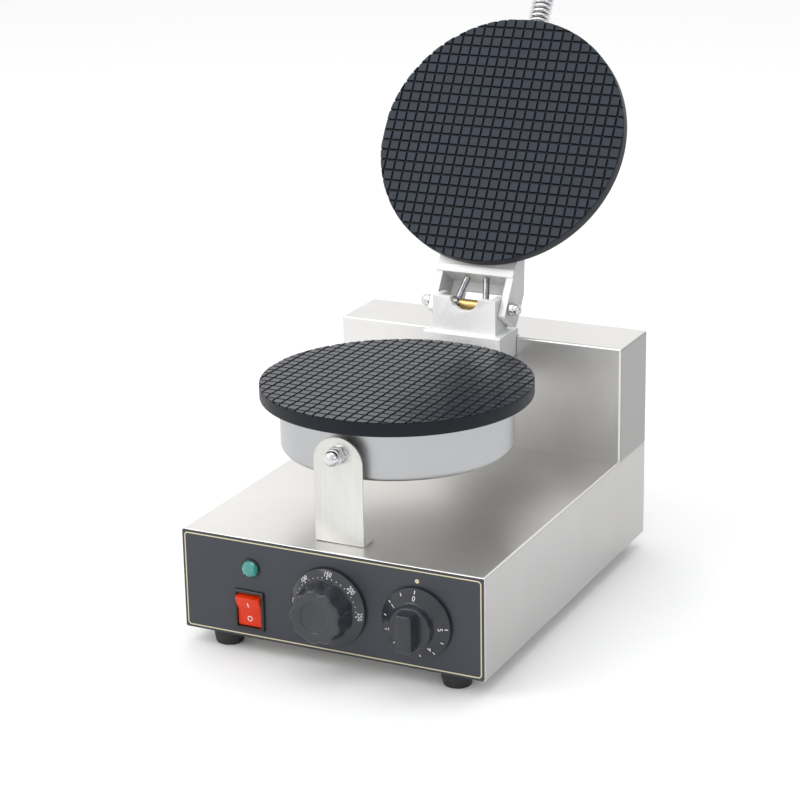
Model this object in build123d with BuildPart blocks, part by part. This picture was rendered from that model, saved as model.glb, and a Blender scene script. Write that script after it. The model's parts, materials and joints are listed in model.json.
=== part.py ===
"""Single-plate waffle cone maker: a sheet-steel base and tower, a fixed lower baking plate and a
hinged upper one, each with its heater can, and the controls on the front.

Millimetres, +Z up, front towards -Y.  The origin is on the surface that the feet stand on, under
the middle of the machine as it stands with its lid open.  The lid is modelled open, its rest
position.
"""
import os
from math import cos, radians, sin

from build123d import *

os.makedirs("parts", exist_ok=True)

# ---- base and tower -------------------------------------------------------------------------
BASE_WIDTH = 250.0
BASE_DEPTH = 325.0
BASE_HEIGHT = 80.0
FOOT_HEIGHT = 13.0
TOWER_DEPTH = 57.0
TOWER_RISE = 95.0
SHEET = 1.2                      # stainless sheet
BEND_R = 2.0                     # outside radius of every fold
FLANGE = 11.0                    # width of the folded-in flanges
FIT_GAP = 0.3                    # between a cover and the walls around it
FLANGE_END = 8.0                 # upright flanges stop this far from the folds

FRONT_Y = -219.0                 # front face of the control panel
BACK_Y = FRONT_Y + BASE_DEPTH
TOWER_Y = BACK_Y - TOWER_DEPTH
BASE_BOTTOM = FOOT_HEIGHT
BASE_TOP = BASE_BOTTOM + BASE_HEIGHT
TOWER_TOP = BASE_TOP + TOWER_RISE
INNER_X = BASE_WIDTH / 2 - SHEET  # inside of the side walls

# ---- control panel --------------------------------------------------------------------------
PANEL_THICK = 1.0
SHELL_FRONT = FRONT_Y + PANEL_THICK
CONTROL_Z = BASE_BOTTOM + 37.6   # height of both dials
LAMP_X, LAMP_Z = -66.0, BASE_BOTTOM + 57.0
LAMP_R = 5.5
CONTROL_CLEAR = 0.2              # cut-outs are this much larger than what stands in them
SWITCH_X, SWITCH_Z = -68.0, BASE_BOTTOM + 23.0
SWITCH_BODY = (21.6, 28.6)
TEMP_X = 0.0
TIMER_X = 72.0
SHAFT_R = 3.0
BUSH_R = 4.8                     # threaded bush that each dial's shaft turns in
BUSH_PROUD = 0.8
SHAFT_SPAN = (-12.0, 20.0)       # ends of both shafts, from the panel's face outwards
TAB = (6.3, 0.8)                 # flat push-on terminals
TAB_LENGTH = 8.0

# ---- baking plates and heater cans ----------------------------------------------------------
PLATE_R = 105.0
PLATE_THICK = 11.5
PLATE_TOP = BASE_BOTTOM + 179.5  # baking face of the lower plate
PLATE_GAP = 4.0                  # between the baking faces when shut
CAN_R = 90.0
LOWER_CAN_DEPTH = 40.0
UPPER_CAN_DEPTH = 28.0
CAN_SHEET = 1.0
CONDUIT_R = 6.0                  # lead conduit into the lower can
CONDUIT_DROP = 18.0              # its axis, from the plate's back
GROMMET_R = 3.0                  # lead hole of the upper can, above the lid arm
GROMMET_DROP = 19.3
PILLAR_R = 5.0
PILLAR_RING = 38.0               # radius of the ring that the three pillars stand on
ELEMENT_RING = 62.0
ELEMENT_R = 4.0
ELEMENT_ARC = 330.0

# ---- front strap ------------------------------------------------------------------------------
STRAP_Y = FRONT_Y + 18.5         # front face of the strap
STRAP_THICK = 1.5
STRAP_HALF = 20.0
STRAP_BOLT_Z = BASE_BOTTOM + 150.0
STRAP_SCREW_Y = FRONT_Y + 28.0
strap_screw_places = [(-12.0, STRAP_SCREW_Y), (12.0, STRAP_SCREW_Y)]
STRAP_SCREW_R = 2.0
STRAP_BOLT_R = 4.0

# ---- hinge ----------------------------------------------------------------------------------
HINGE_Y = FRONT_Y + 255.0
HINGE_Z = BASE_BOTTOM + 201.6
HINGE_TO_CENTRE = 137.0          # hinge axis to the plates' centre
LID_OPEN = 122.45                # degrees that the lid swings up from shut
HINGE_SHAFT_R = 3.2
RUNNING_FIT = 0.05
CHEEK_OUT = 34.0                 # outside of the lid arm's cheeks, from the middle
CHEEK_IN = 28.0
EAR_OUT = 27.7                   # outside of the bracket's ears
EAR_IN = 22.0

PLATE_Y = HINGE_Y - HINGE_TO_CENTRE
PLATE_BACK = PLATE_TOP - PLATE_THICK
CONDUIT_Z = PLATE_BACK - CONDUIT_DROP

# The lid's own frame: origin on the hinge axis, local +Z out of the lid's back, local -Y along
# the lid towards its handle.
lid_plane = Plane(
    origin=(0, HINGE_Y, HINGE_Z),
    x_dir=(1, 0, 0),
    z_dir=(0, sin(radians(LID_OPEN)), cos(radians(LID_OPEN))),
)
LID_BACK = PLATE_TOP + PLATE_GAP + PLATE_THICK - HINGE_Z   # back of the upper plate, local Z

# Each plate's frame: origin at the centre of its back, local +Z into the heater can and local +Y
# towards the hinge.
lower_plane = Plane(origin=(0, PLATE_Y, PLATE_BACK), x_dir=(-1, 0, 0), z_dir=(0, 0, -1))
upper_plane = Plane(
    origin=lid_plane.from_local_coords((0, -HINGE_TO_CENTRE, LID_BACK)),
    x_dir=lid_plane.x_dir,
    z_dir=lid_plane.z_dir,
)

# ---- handle ---------------------------------------------------------------------------------
HANDLE_RISE = 6.5                # handle axis above the hinge axis, in the lid's frame
HANDLE_ROD_R = 4.0
COIL_R = 9.0
COIL_WIRE = 3.6
COIL_START = 238.0               # distances from the hinge axis along the lid
COIL_TURNS = 28
COIL_PITCH = 4.2
COIL_END = COIL_START + COIL_TURNS * COIL_PITCH

# ---- feet and cover screws -------------------------------------------------------------------
FOOT_X = 96.0
foot_places = [(x, y) for x in (-FOOT_X, FOOT_X) for y in (FRONT_Y + 16.0, BACK_Y - 16.0)]
FOOT_SCREW_R = 2.0
SCREW_R = 1.65
SCREW_HEAD_R = 3.0
SCREW_HEAD = 1.8
SCREW_LENGTH = 6.0
HOLE_CLEAR = 0.2                 # screw holes' clearance, in radius
FLANGE_CUT = 4.0                 # reach of the cut that drills a flange
SCREW_X = INNER_X - 6.0
bottom_screw_places = [(x, FRONT_Y + y) for x in (-SCREW_X, SCREW_X) for y in (60, 160, 260)]
base_rear_screws = [(x, z) for x in (-SCREW_X, SCREW_X) for z in (30.0, 76.0)]
tower_rear_screws = [(x, z) for x in (-SCREW_X, SCREW_X) for z in (112.0, 170.0)]


# ==== base housing: folded stainless sheet, open at the bottom and the back ====================
TOWER_OPENING = (190.0, TOWER_DEPTH - 8.0)
with BuildPart() as base_housing:
    with BuildSketch(Plane.XY.offset(BASE_BOTTOM)):
        with Locations((0, (SHELL_FRONT + BACK_Y) / 2)):
            Rectangle(BASE_WIDTH, BACK_Y - SHELL_FRONT)
    extrude(amount=BASE_HEIGHT)
    front_face = base_housing.faces().sort_by(Axis.Y)[0]
    top_face = base_housing.faces().sort_by(Axis.Z)[-1]
    back_edge = top_face.edges().sort_by(Axis.Y)[-1]
    fillet(
        [e for e in top_face.edges() if e != back_edge] + front_face.edges().filter_by(Axis.Z),
        radius=BEND_R,
    )
    with BuildSketch(Plane.XY.offset(BASE_BOTTOM)):
        with Locations((0, (SHELL_FRONT + SHEET + BACK_Y) / 2)):
            Rectangle(2 * INNER_X, BACK_Y - SHELL_FRONT - SHEET)
    extrude(amount=BASE_HEIGHT - SHEET, mode=Mode.SUBTRACT)
    # The top sheet stops short of the rear panel, and is open inside the tower.
    with BuildSketch(Plane.XY.offset(BASE_TOP - SHEET)):
        with Locations((0, BACK_Y)):
            Rectangle(2 * INNER_X, 2 * (SHEET + FIT_GAP))
        with Locations((0, (TOWER_Y + BACK_Y) / 2 - 1)):
            Rectangle(*TOWER_OPENING)
    extrude(amount=SHEET, mode=Mode.SUBTRACT)
    # Side flanges that the bottom plate and the rear panel screw to.
    for side in (-1, 1):
        with BuildSketch(Plane.XY.offset(BASE_BOTTOM + SHEET + FIT_GAP)):
            with Locations((side * (INNER_X - FLANGE / 2), (SHELL_FRONT + BACK_Y) / 2)):
                Rectangle(FLANGE, BACK_Y - SHELL_FRONT - 20)
        extrude(amount=SHEET)
        with BuildSketch(Plane.XY.offset(BASE_BOTTOM + FLANGE_END)):
            with Locations((side * (INNER_X - FLANGE / 2), BACK_Y - 1.5 * SHEET - FIT_GAP)):
                Rectangle(FLANGE, SHEET)
        extrude(amount=BASE_HEIGHT - SHEET - 2 * FLANGE_END)
    # Screw holes through the flanges.
    with BuildSketch(Plane.XY.offset(BASE_BOTTOM + SHEET)):
        with Locations(*bottom_screw_places):
            Circle(SCREW_R)
    extrude(amount=FLANGE_CUT, mode=Mode.SUBTRACT)
    with BuildSketch(Plane.XZ.offset(-BACK_Y + SHEET)):
        with Locations(*base_rear_screws):
            Circle(SCREW_R)
    extrude(amount=FLANGE_CUT, mode=Mode.SUBTRACT)
    # Openings for the controls, in the front wall.
    with BuildSketch(Plane.XZ.offset(-SHELL_FRONT)):
        with Locations((LAMP_X, LAMP_Z)):
            Circle(LAMP_R + CONTROL_CLEAR)
        with Locations((SWITCH_X, SWITCH_Z)):
            Rectangle(*(side + 2 * CONTROL_CLEAR for side in SWITCH_BODY))
        with Locations((TEMP_X, CONTROL_Z), (TIMER_X, CONTROL_Z)):
            Circle(BUSH_R + CONTROL_CLEAR)
    extrude(amount=-SHEET, mode=Mode.SUBTRACT)
    # The two screw holes of the front strap.
    with BuildSketch(Plane.XY.offset(BASE_TOP - SHEET)):
        with Locations(*strap_screw_places):
            Circle(STRAP_SCREW_R + HOLE_CLEAR)
    extrude(amount=SHEET, mode=Mode.SUBTRACT)
base_housing.part.label = "base_housing"
export_step(base_housing.part, "parts/base_housing.step")

# ==== bottom plate: closes the base from below, with two fields of vent slots ==================
VENT_X = 55.0                    # middle of each slot field, below and behind
VENT_SLOT = 60.0
with BuildPart() as bottom_plate:
    with BuildSketch(Plane.XY.offset(BASE_BOTTOM)):
        with Locations((0, (SHELL_FRONT + BACK_Y) / 2)):
            Rectangle(2 * (INNER_X - FIT_GAP), BACK_Y - SHELL_FRONT - 2 * SHEET - 4 * FIT_GAP)
        with Locations((-VENT_X, FRONT_Y + 165), (VENT_X, FRONT_Y + 165)):
            with GridLocations(0, 9, 1, 12):
                SlotOverall(VENT_SLOT, 4, mode=Mode.SUBTRACT)
        with Locations(*foot_places):
            Circle(FOOT_SCREW_R + HOLE_CLEAR, mode=Mode.SUBTRACT)
        with Locations(*bottom_screw_places):
            Circle(SCREW_R, mode=Mode.SUBTRACT)
    extrude(amount=SHEET)
bottom_plate.part.label = "bottom_plate"
export_step(bottom_plate.part, "parts/bottom_plate.step")

# ==== tower cover: folded sheet, open at the back and the bottom ===============================
NOTCH_X = CHEEK_OUT + 0.5
NOTCH_BACK = TOWER_Y + 6.0
NOTCH_CUT = 20.0
NOTCH_DROP = 9.0                 # from the lower plate's back to the notch's foot
with BuildPart() as tower_cover:
    with BuildSketch(Plane.XY.offset(BASE_TOP)):
        with Locations((0, (TOWER_Y + BACK_Y) / 2)):
            Rectangle(BASE_WIDTH, TOWER_DEPTH)
    extrude(amount=TOWER_RISE)
    front_face = tower_cover.faces().sort_by(Axis.Y)[0]
    top_face = tower_cover.faces().sort_by(Axis.Z)[-1]
    back_edge = top_face.edges().sort_by(Axis.Y)[-1]
    fillet(
        [e for e in top_face.edges() if e != back_edge] + front_face.edges().filter_by(Axis.Z),
        radius=BEND_R,
    )
    with BuildSketch(Plane.XY.offset(BASE_TOP)):
        with Locations((0, (TOWER_Y + SHEET + BACK_Y) / 2)):
            Rectangle(2 * INNER_X, TOWER_DEPTH - SHEET)
    extrude(amount=TOWER_RISE - SHEET, mode=Mode.SUBTRACT)
    # Notch in the front and top that the hinge bracket stands in.
    with BuildSketch(Plane.XY.offset(PLATE_BACK - NOTCH_DROP)):
        with Locations((0, NOTCH_BACK - NOTCH_CUT / 2)):
            Rectangle(2 * NOTCH_X, NOTCH_CUT)
    extrude(until=Until.LAST, mode=Mode.SUBTRACT)
    # Hole for the lead conduit.
    with BuildSketch(Plane.XZ.offset(-TOWER_Y)):
        with Locations((0, CONDUIT_Z)):
            Circle(CONDUIT_R + 0.1)
    extrude(amount=-SHEET, mode=Mode.SUBTRACT)
    for side in (-1, 1):
        # Rear flanges for the panel's screws, and foot flanges on the base's top sheet.
        with BuildSketch(Plane.XY.offset(BASE_TOP + FLANGE_END)):
            with Locations((side * (INNER_X - FLANGE / 2), BACK_Y - 1.5 * SHEET - FIT_GAP)):
                Rectangle(FLANGE, SHEET)
        extrude(amount=TOWER_RISE - SHEET - 2 * FLANGE_END)
        with BuildSketch(Plane.XY.offset(BASE_TOP)):
            with Locations((side * (INNER_X - FLANGE / 2), (TOWER_Y + BACK_Y) / 2 - 2)):
                Rectangle(FLANGE, TOWER_DEPTH - 18)
        extrude(amount=SHEET)
    with BuildSketch(Plane.XZ.offset(-BACK_Y + SHEET)):
        with Locations(*tower_rear_screws):
            Circle(SCREW_R)
    extrude(amount=FLANGE_CUT, mode=Mode.SUBTRACT)
tower_cover.part.label = "tower_cover"
export_step(tower_cover.part, "parts/tower_cover.step")

# ==== rear panel: one flat sheet behind base and tower, with louvre slots and the cable hole ====
GLAND_X, GLAND_Z = 85.0, BASE_BOTTOM + 28.0
GLAND_HOLE_R = 8.0
LOUVRE = 3.0
LOUVRE_PITCH = 8.0
with BuildPart() as rear_panel:
    with BuildSketch(Plane.XZ.offset(-BACK_Y)):
        with Locations((0, (BASE_BOTTOM + TOWER_TOP - SHEET) / 2)):
            Rectangle(2 * (INNER_X - FIT_GAP), TOWER_TOP - SHEET - BASE_BOTTOM - 2 * FIT_GAP)
        with Locations((-VENT_X, 140), (VENT_X, 140)):
            with GridLocations(0, LOUVRE_PITCH, 1, 7):
                SlotOverall(VENT_SLOT, LOUVRE, mode=Mode.SUBTRACT)
        with Locations((-20, 56)):
            with GridLocations(0, LOUVRE_PITCH, 1, 5):
                SlotOverall(VENT_SLOT, LOUVRE, mode=Mode.SUBTRACT)
        with Locations((GLAND_X, GLAND_Z)):
            Circle(GLAND_HOLE_R, mode=Mode.SUBTRACT)
        with Locations(*base_rear_screws, *tower_rear_screws):
            Circle(SCREW_R, mode=Mode.SUBTRACT)
    extrude(amount=SHEET)
rear_panel.part.label = "rear_panel"
export_step(rear_panel.part, "parts/rear_panel.step")

# ==== control panel: thin dark plate over the whole front ======================================
with BuildPart() as control_panel:
    with BuildSketch(Plane.XZ.offset(-FRONT_Y)):
        with Locations((0, (BASE_BOTTOM + BASE_TOP) / 2)):
            RectangleRounded(BASE_WIDTH - 0.8, BASE_HEIGHT - 0.8, 1.2)
        with Locations((LAMP_X, LAMP_Z)):
            Circle(LAMP_R + CONTROL_CLEAR, mode=Mode.SUBTRACT)
        with Locations((SWITCH_X, SWITCH_Z)):
            Rectangle(*(side + 2 * CONTROL_CLEAR for side in SWITCH_BODY), mode=Mode.SUBTRACT)
        with Locations((TEMP_X, CONTROL_Z), (TIMER_X, CONTROL_Z)):
            Circle(BUSH_R + CONTROL_CLEAR, mode=Mode.SUBTRACT)
    extrude(amount=-PANEL_THICK)
control_panel.part.label = "control_panel"
export_step(control_panel.part, "parts/control_panel.step")

# ==== feet: tapered rubber, each with a recessed screw =========================================
FOOT_TOP_R = 13.0
FOOT_TAPER = 11.0
FOOT_RECESS_R = 4.6
FOOT_SEAT = 4.0                  # rubber left above the screw's head
FOOT_HEAD = 2.6
with BuildPart() as rubber_feet:
    with BuildSketch(Plane.XY.offset(FOOT_HEIGHT)):
        with Locations(*foot_places):
            Circle(FOOT_TOP_R)
    extrude(amount=-FOOT_HEIGHT, taper=FOOT_TAPER)
    fillet(rubber_feet.edges().group_by(Axis.Z)[0], radius=1.5)
    with BuildSketch():
        with Locations(*foot_places):
            Circle(FOOT_RECESS_R)
    extrude(amount=FOOT_HEIGHT - FOOT_SEAT, mode=Mode.SUBTRACT)
    with BuildSketch():
        with Locations(*foot_places):
            Circle(FOOT_SCREW_R + HOLE_CLEAR)
    extrude(amount=FOOT_HEIGHT, mode=Mode.SUBTRACT)
rubber_feet.part.label = "rubber_feet"
export_step(rubber_feet.part, "parts/rubber_feet.step")

with BuildPart() as foot_screws:
    with BuildSketch(Plane.XY.offset(FOOT_HEIGHT - FOOT_SEAT - FOOT_HEAD)):
        with Locations(*foot_places):
            Circle(3.8)
    extrude(amount=FOOT_HEAD)
    with BuildSketch(Plane.XY.offset(FOOT_HEIGHT - FOOT_SEAT)):
        with Locations(*foot_places):
            Circle(FOOT_SCREW_R)
    extrude(amount=FOOT_SEAT + SHEET + 5)
foot_screws.part.label = "foot_screws"
export_step(foot_screws.part, "parts/foot_screws.step")

with BuildPart() as foot_nuts:
    with BuildSketch(Plane.XY.offset(BASE_BOTTOM + SHEET)):
        with Locations(*foot_places):
            RegularPolygon(radius=3.5, side_count=6, major_radius=False)
            Circle(FOOT_SCREW_R, mode=Mode.SUBTRACT)
    extrude(amount=3.2)
foot_nuts.part.label = "foot_nuts"
export_step(foot_nuts.part, "parts/foot_nuts.step")

# ==== cover screws: pan heads under the base and behind it =====================================
with BuildPart() as bottom_screws:
    with BuildSketch(Plane.XY.offset(BASE_BOTTOM - SCREW_HEAD)):
        with Locations(*bottom_screw_places):
            Circle(SCREW_HEAD_R)
    extrude(amount=SCREW_HEAD)
    fillet(bottom_screws.edges().group_by(Axis.Z)[0], radius=1.0)
    with BuildSketch(Plane.XY.offset(BASE_BOTTOM)):
        with Locations(*bottom_screw_places):
            Circle(SCREW_R)
    extrude(amount=SCREW_LENGTH)
bottom_screws.part.label = "bottom_screws"
export_step(bottom_screws.part, "parts/bottom_screws.step")

with BuildPart() as rear_screws:
    with BuildSketch(Plane.XZ.offset(-BACK_Y - SCREW_HEAD)):
        with Locations(*base_rear_screws, *tower_rear_screws):
            Circle(SCREW_HEAD_R)
    extrude(amount=SCREW_HEAD)
    fillet(rear_screws.edges().group_by(Axis.Y)[-1], radius=1.0)
    with BuildSketch(Plane.XZ.offset(-BACK_Y)):
        with Locations(*base_rear_screws, *tower_rear_screws):
            Circle(SCREW_R)
    extrude(amount=SCREW_LENGTH)
rear_screws.part.label = "rear_screws"
export_step(rear_screws.part, "parts/rear_screws.step")

# ==== indicator lamp: black barrel with a thin flange, faceted lens, nut behind ================
LAMP_FLANGE_R = 7.6
LAMP_FLANGE = 1.2
LAMP_SEAT_R = 5.0
LAMP_LENGTH = 24.0
LENS_R = 6.6
with BuildPart() as lamp_body:
    with BuildSketch(Plane.XZ.offset(-FRONT_Y)):
        with Locations((LAMP_X, LAMP_Z)):
            Circle(LAMP_FLANGE_R)
            Circle(LAMP_SEAT_R, mode=Mode.SUBTRACT)
    extrude(amount=LAMP_FLANGE)
    with BuildSketch(Plane.XZ.offset(-FRONT_Y)):
        with Locations((LAMP_X, LAMP_Z)):
            Circle(LAMP_R)
    extrude(amount=-LAMP_LENGTH)
    for offset_x in (-2.5, 2.5):
        with BuildSketch(Plane.XZ.offset(-FRONT_Y - LAMP_LENGTH)):
            with Locations((LAMP_X + offset_x, LAMP_Z)):
                Rectangle(0.8, 4)
        extrude(amount=-TAB_LENGTH)
lamp_body.part.label = "lamp_body"
export_step(lamp_body.part, "parts/lamp_body.step")

with BuildPart() as lamp_lens:
    with BuildSketch(Plane.XZ.offset(-FRONT_Y)):
        with Locations((LAMP_X, LAMP_Z)):
            Circle(LAMP_SEAT_R)
    extrude(amount=LAMP_FLANGE)
    with BuildSketch(Plane.XZ.offset(-FRONT_Y + LAMP_FLANGE)):
        with Locations((LAMP_X, LAMP_Z)):
            RegularPolygon(radius=LENS_R, side_count=8)
    extrude(amount=4.4, taper=28)
lamp_lens.part.label = "lamp_lens"
export_step(lamp_lens.part, "parts/lamp_lens.step")

with BuildPart() as lamp_nut:
    with BuildSketch(Plane.XZ.offset(-SHELL_FRONT - SHEET)):
        with Locations((LAMP_X, LAMP_Z)):
            RegularPolygon(radius=7.5, side_count=6, major_radius=False)
            Circle(LAMP_R, mode=Mode.SUBTRACT)
    extrude(amount=-3)
lamp_nut.part.label = "lamp_nut"
export_step(lamp_nut.part, "parts/lamp_nut.step")

# ==== power switch: black frame and body, red rocker on two small pivots =======================
ROCKER_HALF = (10.0, 12.2)       # half width and half height of the rocker
ROCKER_TILT = 12.0               # degrees each way from the middle
PIVOT_Y = FRONT_Y + 3.0
WELL = (20.6, 27.2)              # opening in the frame that the rocker works in
WELL_DEPTH = 20.0
SWITCH_FRAME = (25.4, 31.6)
SWITCH_PROUD = 2.2
SWITCH_DEPTH = 26.0
ROCKER_PIN_R = 1.2
with BuildPart() as switch_body:
    with BuildSketch(Plane.XZ.offset(-FRONT_Y)):
        with Locations((SWITCH_X, SWITCH_Z)):
            RectangleRounded(*SWITCH_FRAME, 1.2)
    extrude(amount=SWITCH_PROUD)
    chamfer(switch_body.edges().group_by(Axis.Y)[0], length=0.7)
    with BuildSketch(Plane.XZ.offset(-FRONT_Y)):
        with Locations((SWITCH_X, SWITCH_Z)):
            Rectangle(*SWITCH_BODY)
    extrude(amount=-SWITCH_DEPTH)
    with BuildSketch(Plane.XZ.offset(-FRONT_Y + SWITCH_PROUD)):
        with Locations((SWITCH_X, SWITCH_Z)):
            Rectangle(*WELL)
    extrude(amount=-WELL_DEPTH, mode=Mode.SUBTRACT)
    with Locations(Plane(origin=(SWITCH_X, PIVOT_Y, SWITCH_Z), z_dir=(1, 0, 0))):
        Cylinder(ROCKER_PIN_R + RUNNING_FIT, SWITCH_BODY[0] + 0.2, mode=Mode.SUBTRACT)
    for tab_z in (-8, 0, 8):
        with BuildSketch(Plane.XZ.offset(-FRONT_Y - SWITCH_DEPTH)):
            with Locations((SWITCH_X, SWITCH_Z + tab_z)):
                Rectangle(*TAB)
        extrude(amount=-TAB_LENGTH)
switch_body.part.label = "switch_body"
export_step(switch_body.part, "parts/switch_body.step")

rocker_plane = Plane(
    origin=(SWITCH_X - ROCKER_HALF[0], PIVOT_Y, SWITCH_Z),
    x_dir=(0, cos(radians(ROCKER_TILT)), sin(radians(ROCKER_TILT))),
    z_dir=(1, 0, 0),
)
with BuildPart() as rocker:
    with BuildSketch(rocker_plane):
        with BuildLine():
            Polyline(
                (8.0, -5.0), (3.0, -ROCKER_HALF[1]), (-6.0, -ROCKER_HALF[1]), (-3.6, 0),
                (-6.0, ROCKER_HALF[1]), (3.0, ROCKER_HALF[1]), (8.0, 5.0), (8.0, -5.0),
            )
        make_face()
    extrude(amount=2 * ROCKER_HALF[0])
    fillet(rocker.edges().filter_by(Axis.X).group_by(Axis.Y)[0], radius=0.8)
    with Locations(Plane(origin=(SWITCH_X, PIVOT_Y, SWITCH_Z), z_dir=(1, 0, 0))):
        Cylinder(ROCKER_PIN_R, SWITCH_BODY[0] - 0.2)
rocker.part.label = "rocker"
export_step(rocker.part, "parts/rocker.step")

# ==== temperature dial: thermostat behind the panel, shaft, skirted knob with a fluted grip =====
TEMP_SKIRT_R = 30.5
TEMP_GRIP_R = 23.5
KNOB_GAP = 1.2                   # knob clear of the panel
DIAL_BACK = FRONT_Y - KNOB_GAP
CONTROL_SEAT = -PANEL_THICK - SHEET   # back of the front wall, from the panel's face outwards
THERMOSTAT_SIDE = 42.0
THERMOSTAT_DEPTH = 26.0
SKIRT_HEIGHT = 5.6
GRIP_HEIGHT = 18.2
DISH_R = 11.0
temp_axis = Plane(origin=(TEMP_X, FRONT_Y, CONTROL_Z), x_dir=(1, 0, 0), z_dir=(0, -1, 0))
with BuildPart() as thermostat:
    with BuildSketch(temp_axis.offset(CONTROL_SEAT)):
        RectangleRounded(THERMOSTAT_SIDE, THERMOSTAT_SIDE, 3)
    extrude(amount=-THERMOSTAT_DEPTH)
    with BuildSketch(temp_axis.offset(CONTROL_SEAT)):
        Circle(BUSH_R)
    extrude(amount=BUSH_PROUD - CONTROL_SEAT)
    with BuildSketch(temp_axis.offset(SHAFT_SPAN[0] - 1)):
        Circle(SHAFT_R + RUNNING_FIT)
    extrude(amount=SHAFT_SPAN[1] - SHAFT_SPAN[0], mode=Mode.SUBTRACT)
    with BuildSketch(temp_axis.offset(CONTROL_SEAT - THERMOSTAT_DEPTH)):
        with GridLocations(28, 16, 2, 2):
            Rectangle(TAB[1], TAB[0])
    extrude(amount=-TAB_LENGTH)
thermostat.part.label = "thermostat"
export_step(thermostat.part, "parts/thermostat.step")

with BuildPart() as temperature_shaft:
    with BuildSketch(temp_axis.offset(SHAFT_SPAN[0])):
        Circle(SHAFT_R)
    extrude(amount=SHAFT_SPAN[1] - SHAFT_SPAN[0])
temperature_shaft.part.label = "temperature_shaft"
export_step(temperature_shaft.part, "parts/temperature_shaft.step")

with BuildPart() as temperature_knob:
    with BuildSketch(temp_axis.offset(KNOB_GAP)):
        Circle(TEMP_SKIRT_R)
    extrude(amount=SKIRT_HEIGHT)
    chamfer(temperature_knob.edges().sort_by(Axis.Y)[0], length=2.2, length2=4.0)
    with BuildSketch(temp_axis.offset(KNOB_GAP + SKIRT_HEIGHT)):
        Circle(TEMP_GRIP_R)
        with PolarLocations(TEMP_GRIP_R + 4.6, 9):
            Circle(7.0, mode=Mode.SUBTRACT)
    extrude(amount=GRIP_HEIGHT)
    with BuildSketch(temp_axis.offset(KNOB_GAP + SKIRT_HEIGHT + GRIP_HEIGHT)):
        Circle(DISH_R)
    extrude(amount=-1.2, taper=30, mode=Mode.SUBTRACT)
    with BuildSketch(temp_axis.offset(KNOB_GAP)):
        Circle(SHAFT_R)
    extrude(amount=SHAFT_SPAN[1] - KNOB_GAP, mode=Mode.SUBTRACT)
temperature_knob.part.label = "temperature_knob"
export_step(temperature_knob.part, "parts/temperature_knob.step")

# Sensor of the thermostat: bulb under the lower plate.  Its capillary tube runs back through the
# base, up the tower and forward through the conduit.
CAPILLARY_R = 1.1
CAPILLARY_Z = CONTROL_Z + 12.0
CAPILLARY_Y = TOWER_Y + 16.0     # where it rises, inside the tower
CAPILLARY_BEND = 8.0
BULB_R = 3.0
BULB_Z = PLATE_BACK - BULB_R - 0.2
BULB_X = -14.0
BULB_LENGTH = 50.0
BULB_BACK = PLATE_Y + 20.0       # the end that the capillary joins
with BuildPart() as thermostat_bulb:
    with BuildSketch(Plane(origin=(BULB_X, BULB_BACK, BULB_Z), z_dir=(0, -1, 0))):
        Circle(BULB_R)
    extrude(amount=BULB_LENGTH)
    fillet(thermostat_bulb.edges(), radius=1.5)
thermostat_bulb.part.label = "thermostat_bulb"
export_step(thermostat_bulb.part, "parts/thermostat_bulb.step")

with BuildPart() as capillary_tube:
    with BuildLine() as capillary_path:
        FilletPolyline(
            (TEMP_X, SHELL_FRONT + SHEET + THERMOSTAT_DEPTH, CAPILLARY_Z),
            (TEMP_X, CAPILLARY_Y, CAPILLARY_Z),
            (TEMP_X, CAPILLARY_Y, CONDUIT_Z),
            (TEMP_X, PLATE_Y + CAN_R - 20, CONDUIT_Z),
            (BULB_X, BULB_BACK + 20.0, BULB_Z),
            (BULB_X, BULB_BACK, BULB_Z),
            radius=CAPILLARY_BEND,
        )
    with BuildSketch(Plane(origin=capillary_path.line @ 0, z_dir=capillary_path.line % 0)):
        Circle(CAPILLARY_R)
    sweep()
capillary_tube.part.label = "capillary_tube"
export_step(capillary_tube.part, "parts/capillary_tube.step")

# ==== timer dial: clockwork timer behind the panel, shaft, conical knob with a bar grip =========
TIMER_SKIRT_R = 27.5
TIMER_R = 23.0
TIMER_DEPTH = 34.0
TIMER_FLANGE = 2.0               # straight rim of the skirt
COLLAR_R = 17.0
BAR_GRIP = (14.0, 30.0)
timer_axis = Plane(origin=(TIMER_X, FRONT_Y, CONTROL_Z), x_dir=(1, 0, 0), z_dir=(0, -1, 0))
with BuildPart() as timer_body:
    with BuildSketch(timer_axis.offset(CONTROL_SEAT)):
        Circle(TIMER_R)
    extrude(amount=-TIMER_DEPTH)
    with BuildSketch(timer_axis.offset(CONTROL_SEAT)):
        Circle(BUSH_R)
    extrude(amount=BUSH_PROUD - CONTROL_SEAT)
    with BuildSketch(timer_axis.offset(SHAFT_SPAN[0] - 1)):
        Circle(SHAFT_R + RUNNING_FIT)
    extrude(amount=SHAFT_SPAN[1] - SHAFT_SPAN[0], mode=Mode.SUBTRACT)
    with BuildSketch(timer_axis.offset(CONTROL_SEAT - TIMER_DEPTH)):
        with GridLocations(16, 0, 2, 1):
            Rectangle(TAB[1], TAB[0])
    extrude(amount=-TAB_LENGTH)
timer_body.part.label = "timer_body"
export_step(timer_body.part, "parts/timer_body.step")

with BuildPart() as timer_shaft:
    with BuildSketch(timer_axis.offset(SHAFT_SPAN[0])):
        Circle(SHAFT_R)
    extrude(amount=SHAFT_SPAN[1] - SHAFT_SPAN[0])
timer_shaft.part.label = "timer_shaft"
export_step(timer_shaft.part, "parts/timer_shaft.step")

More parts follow.
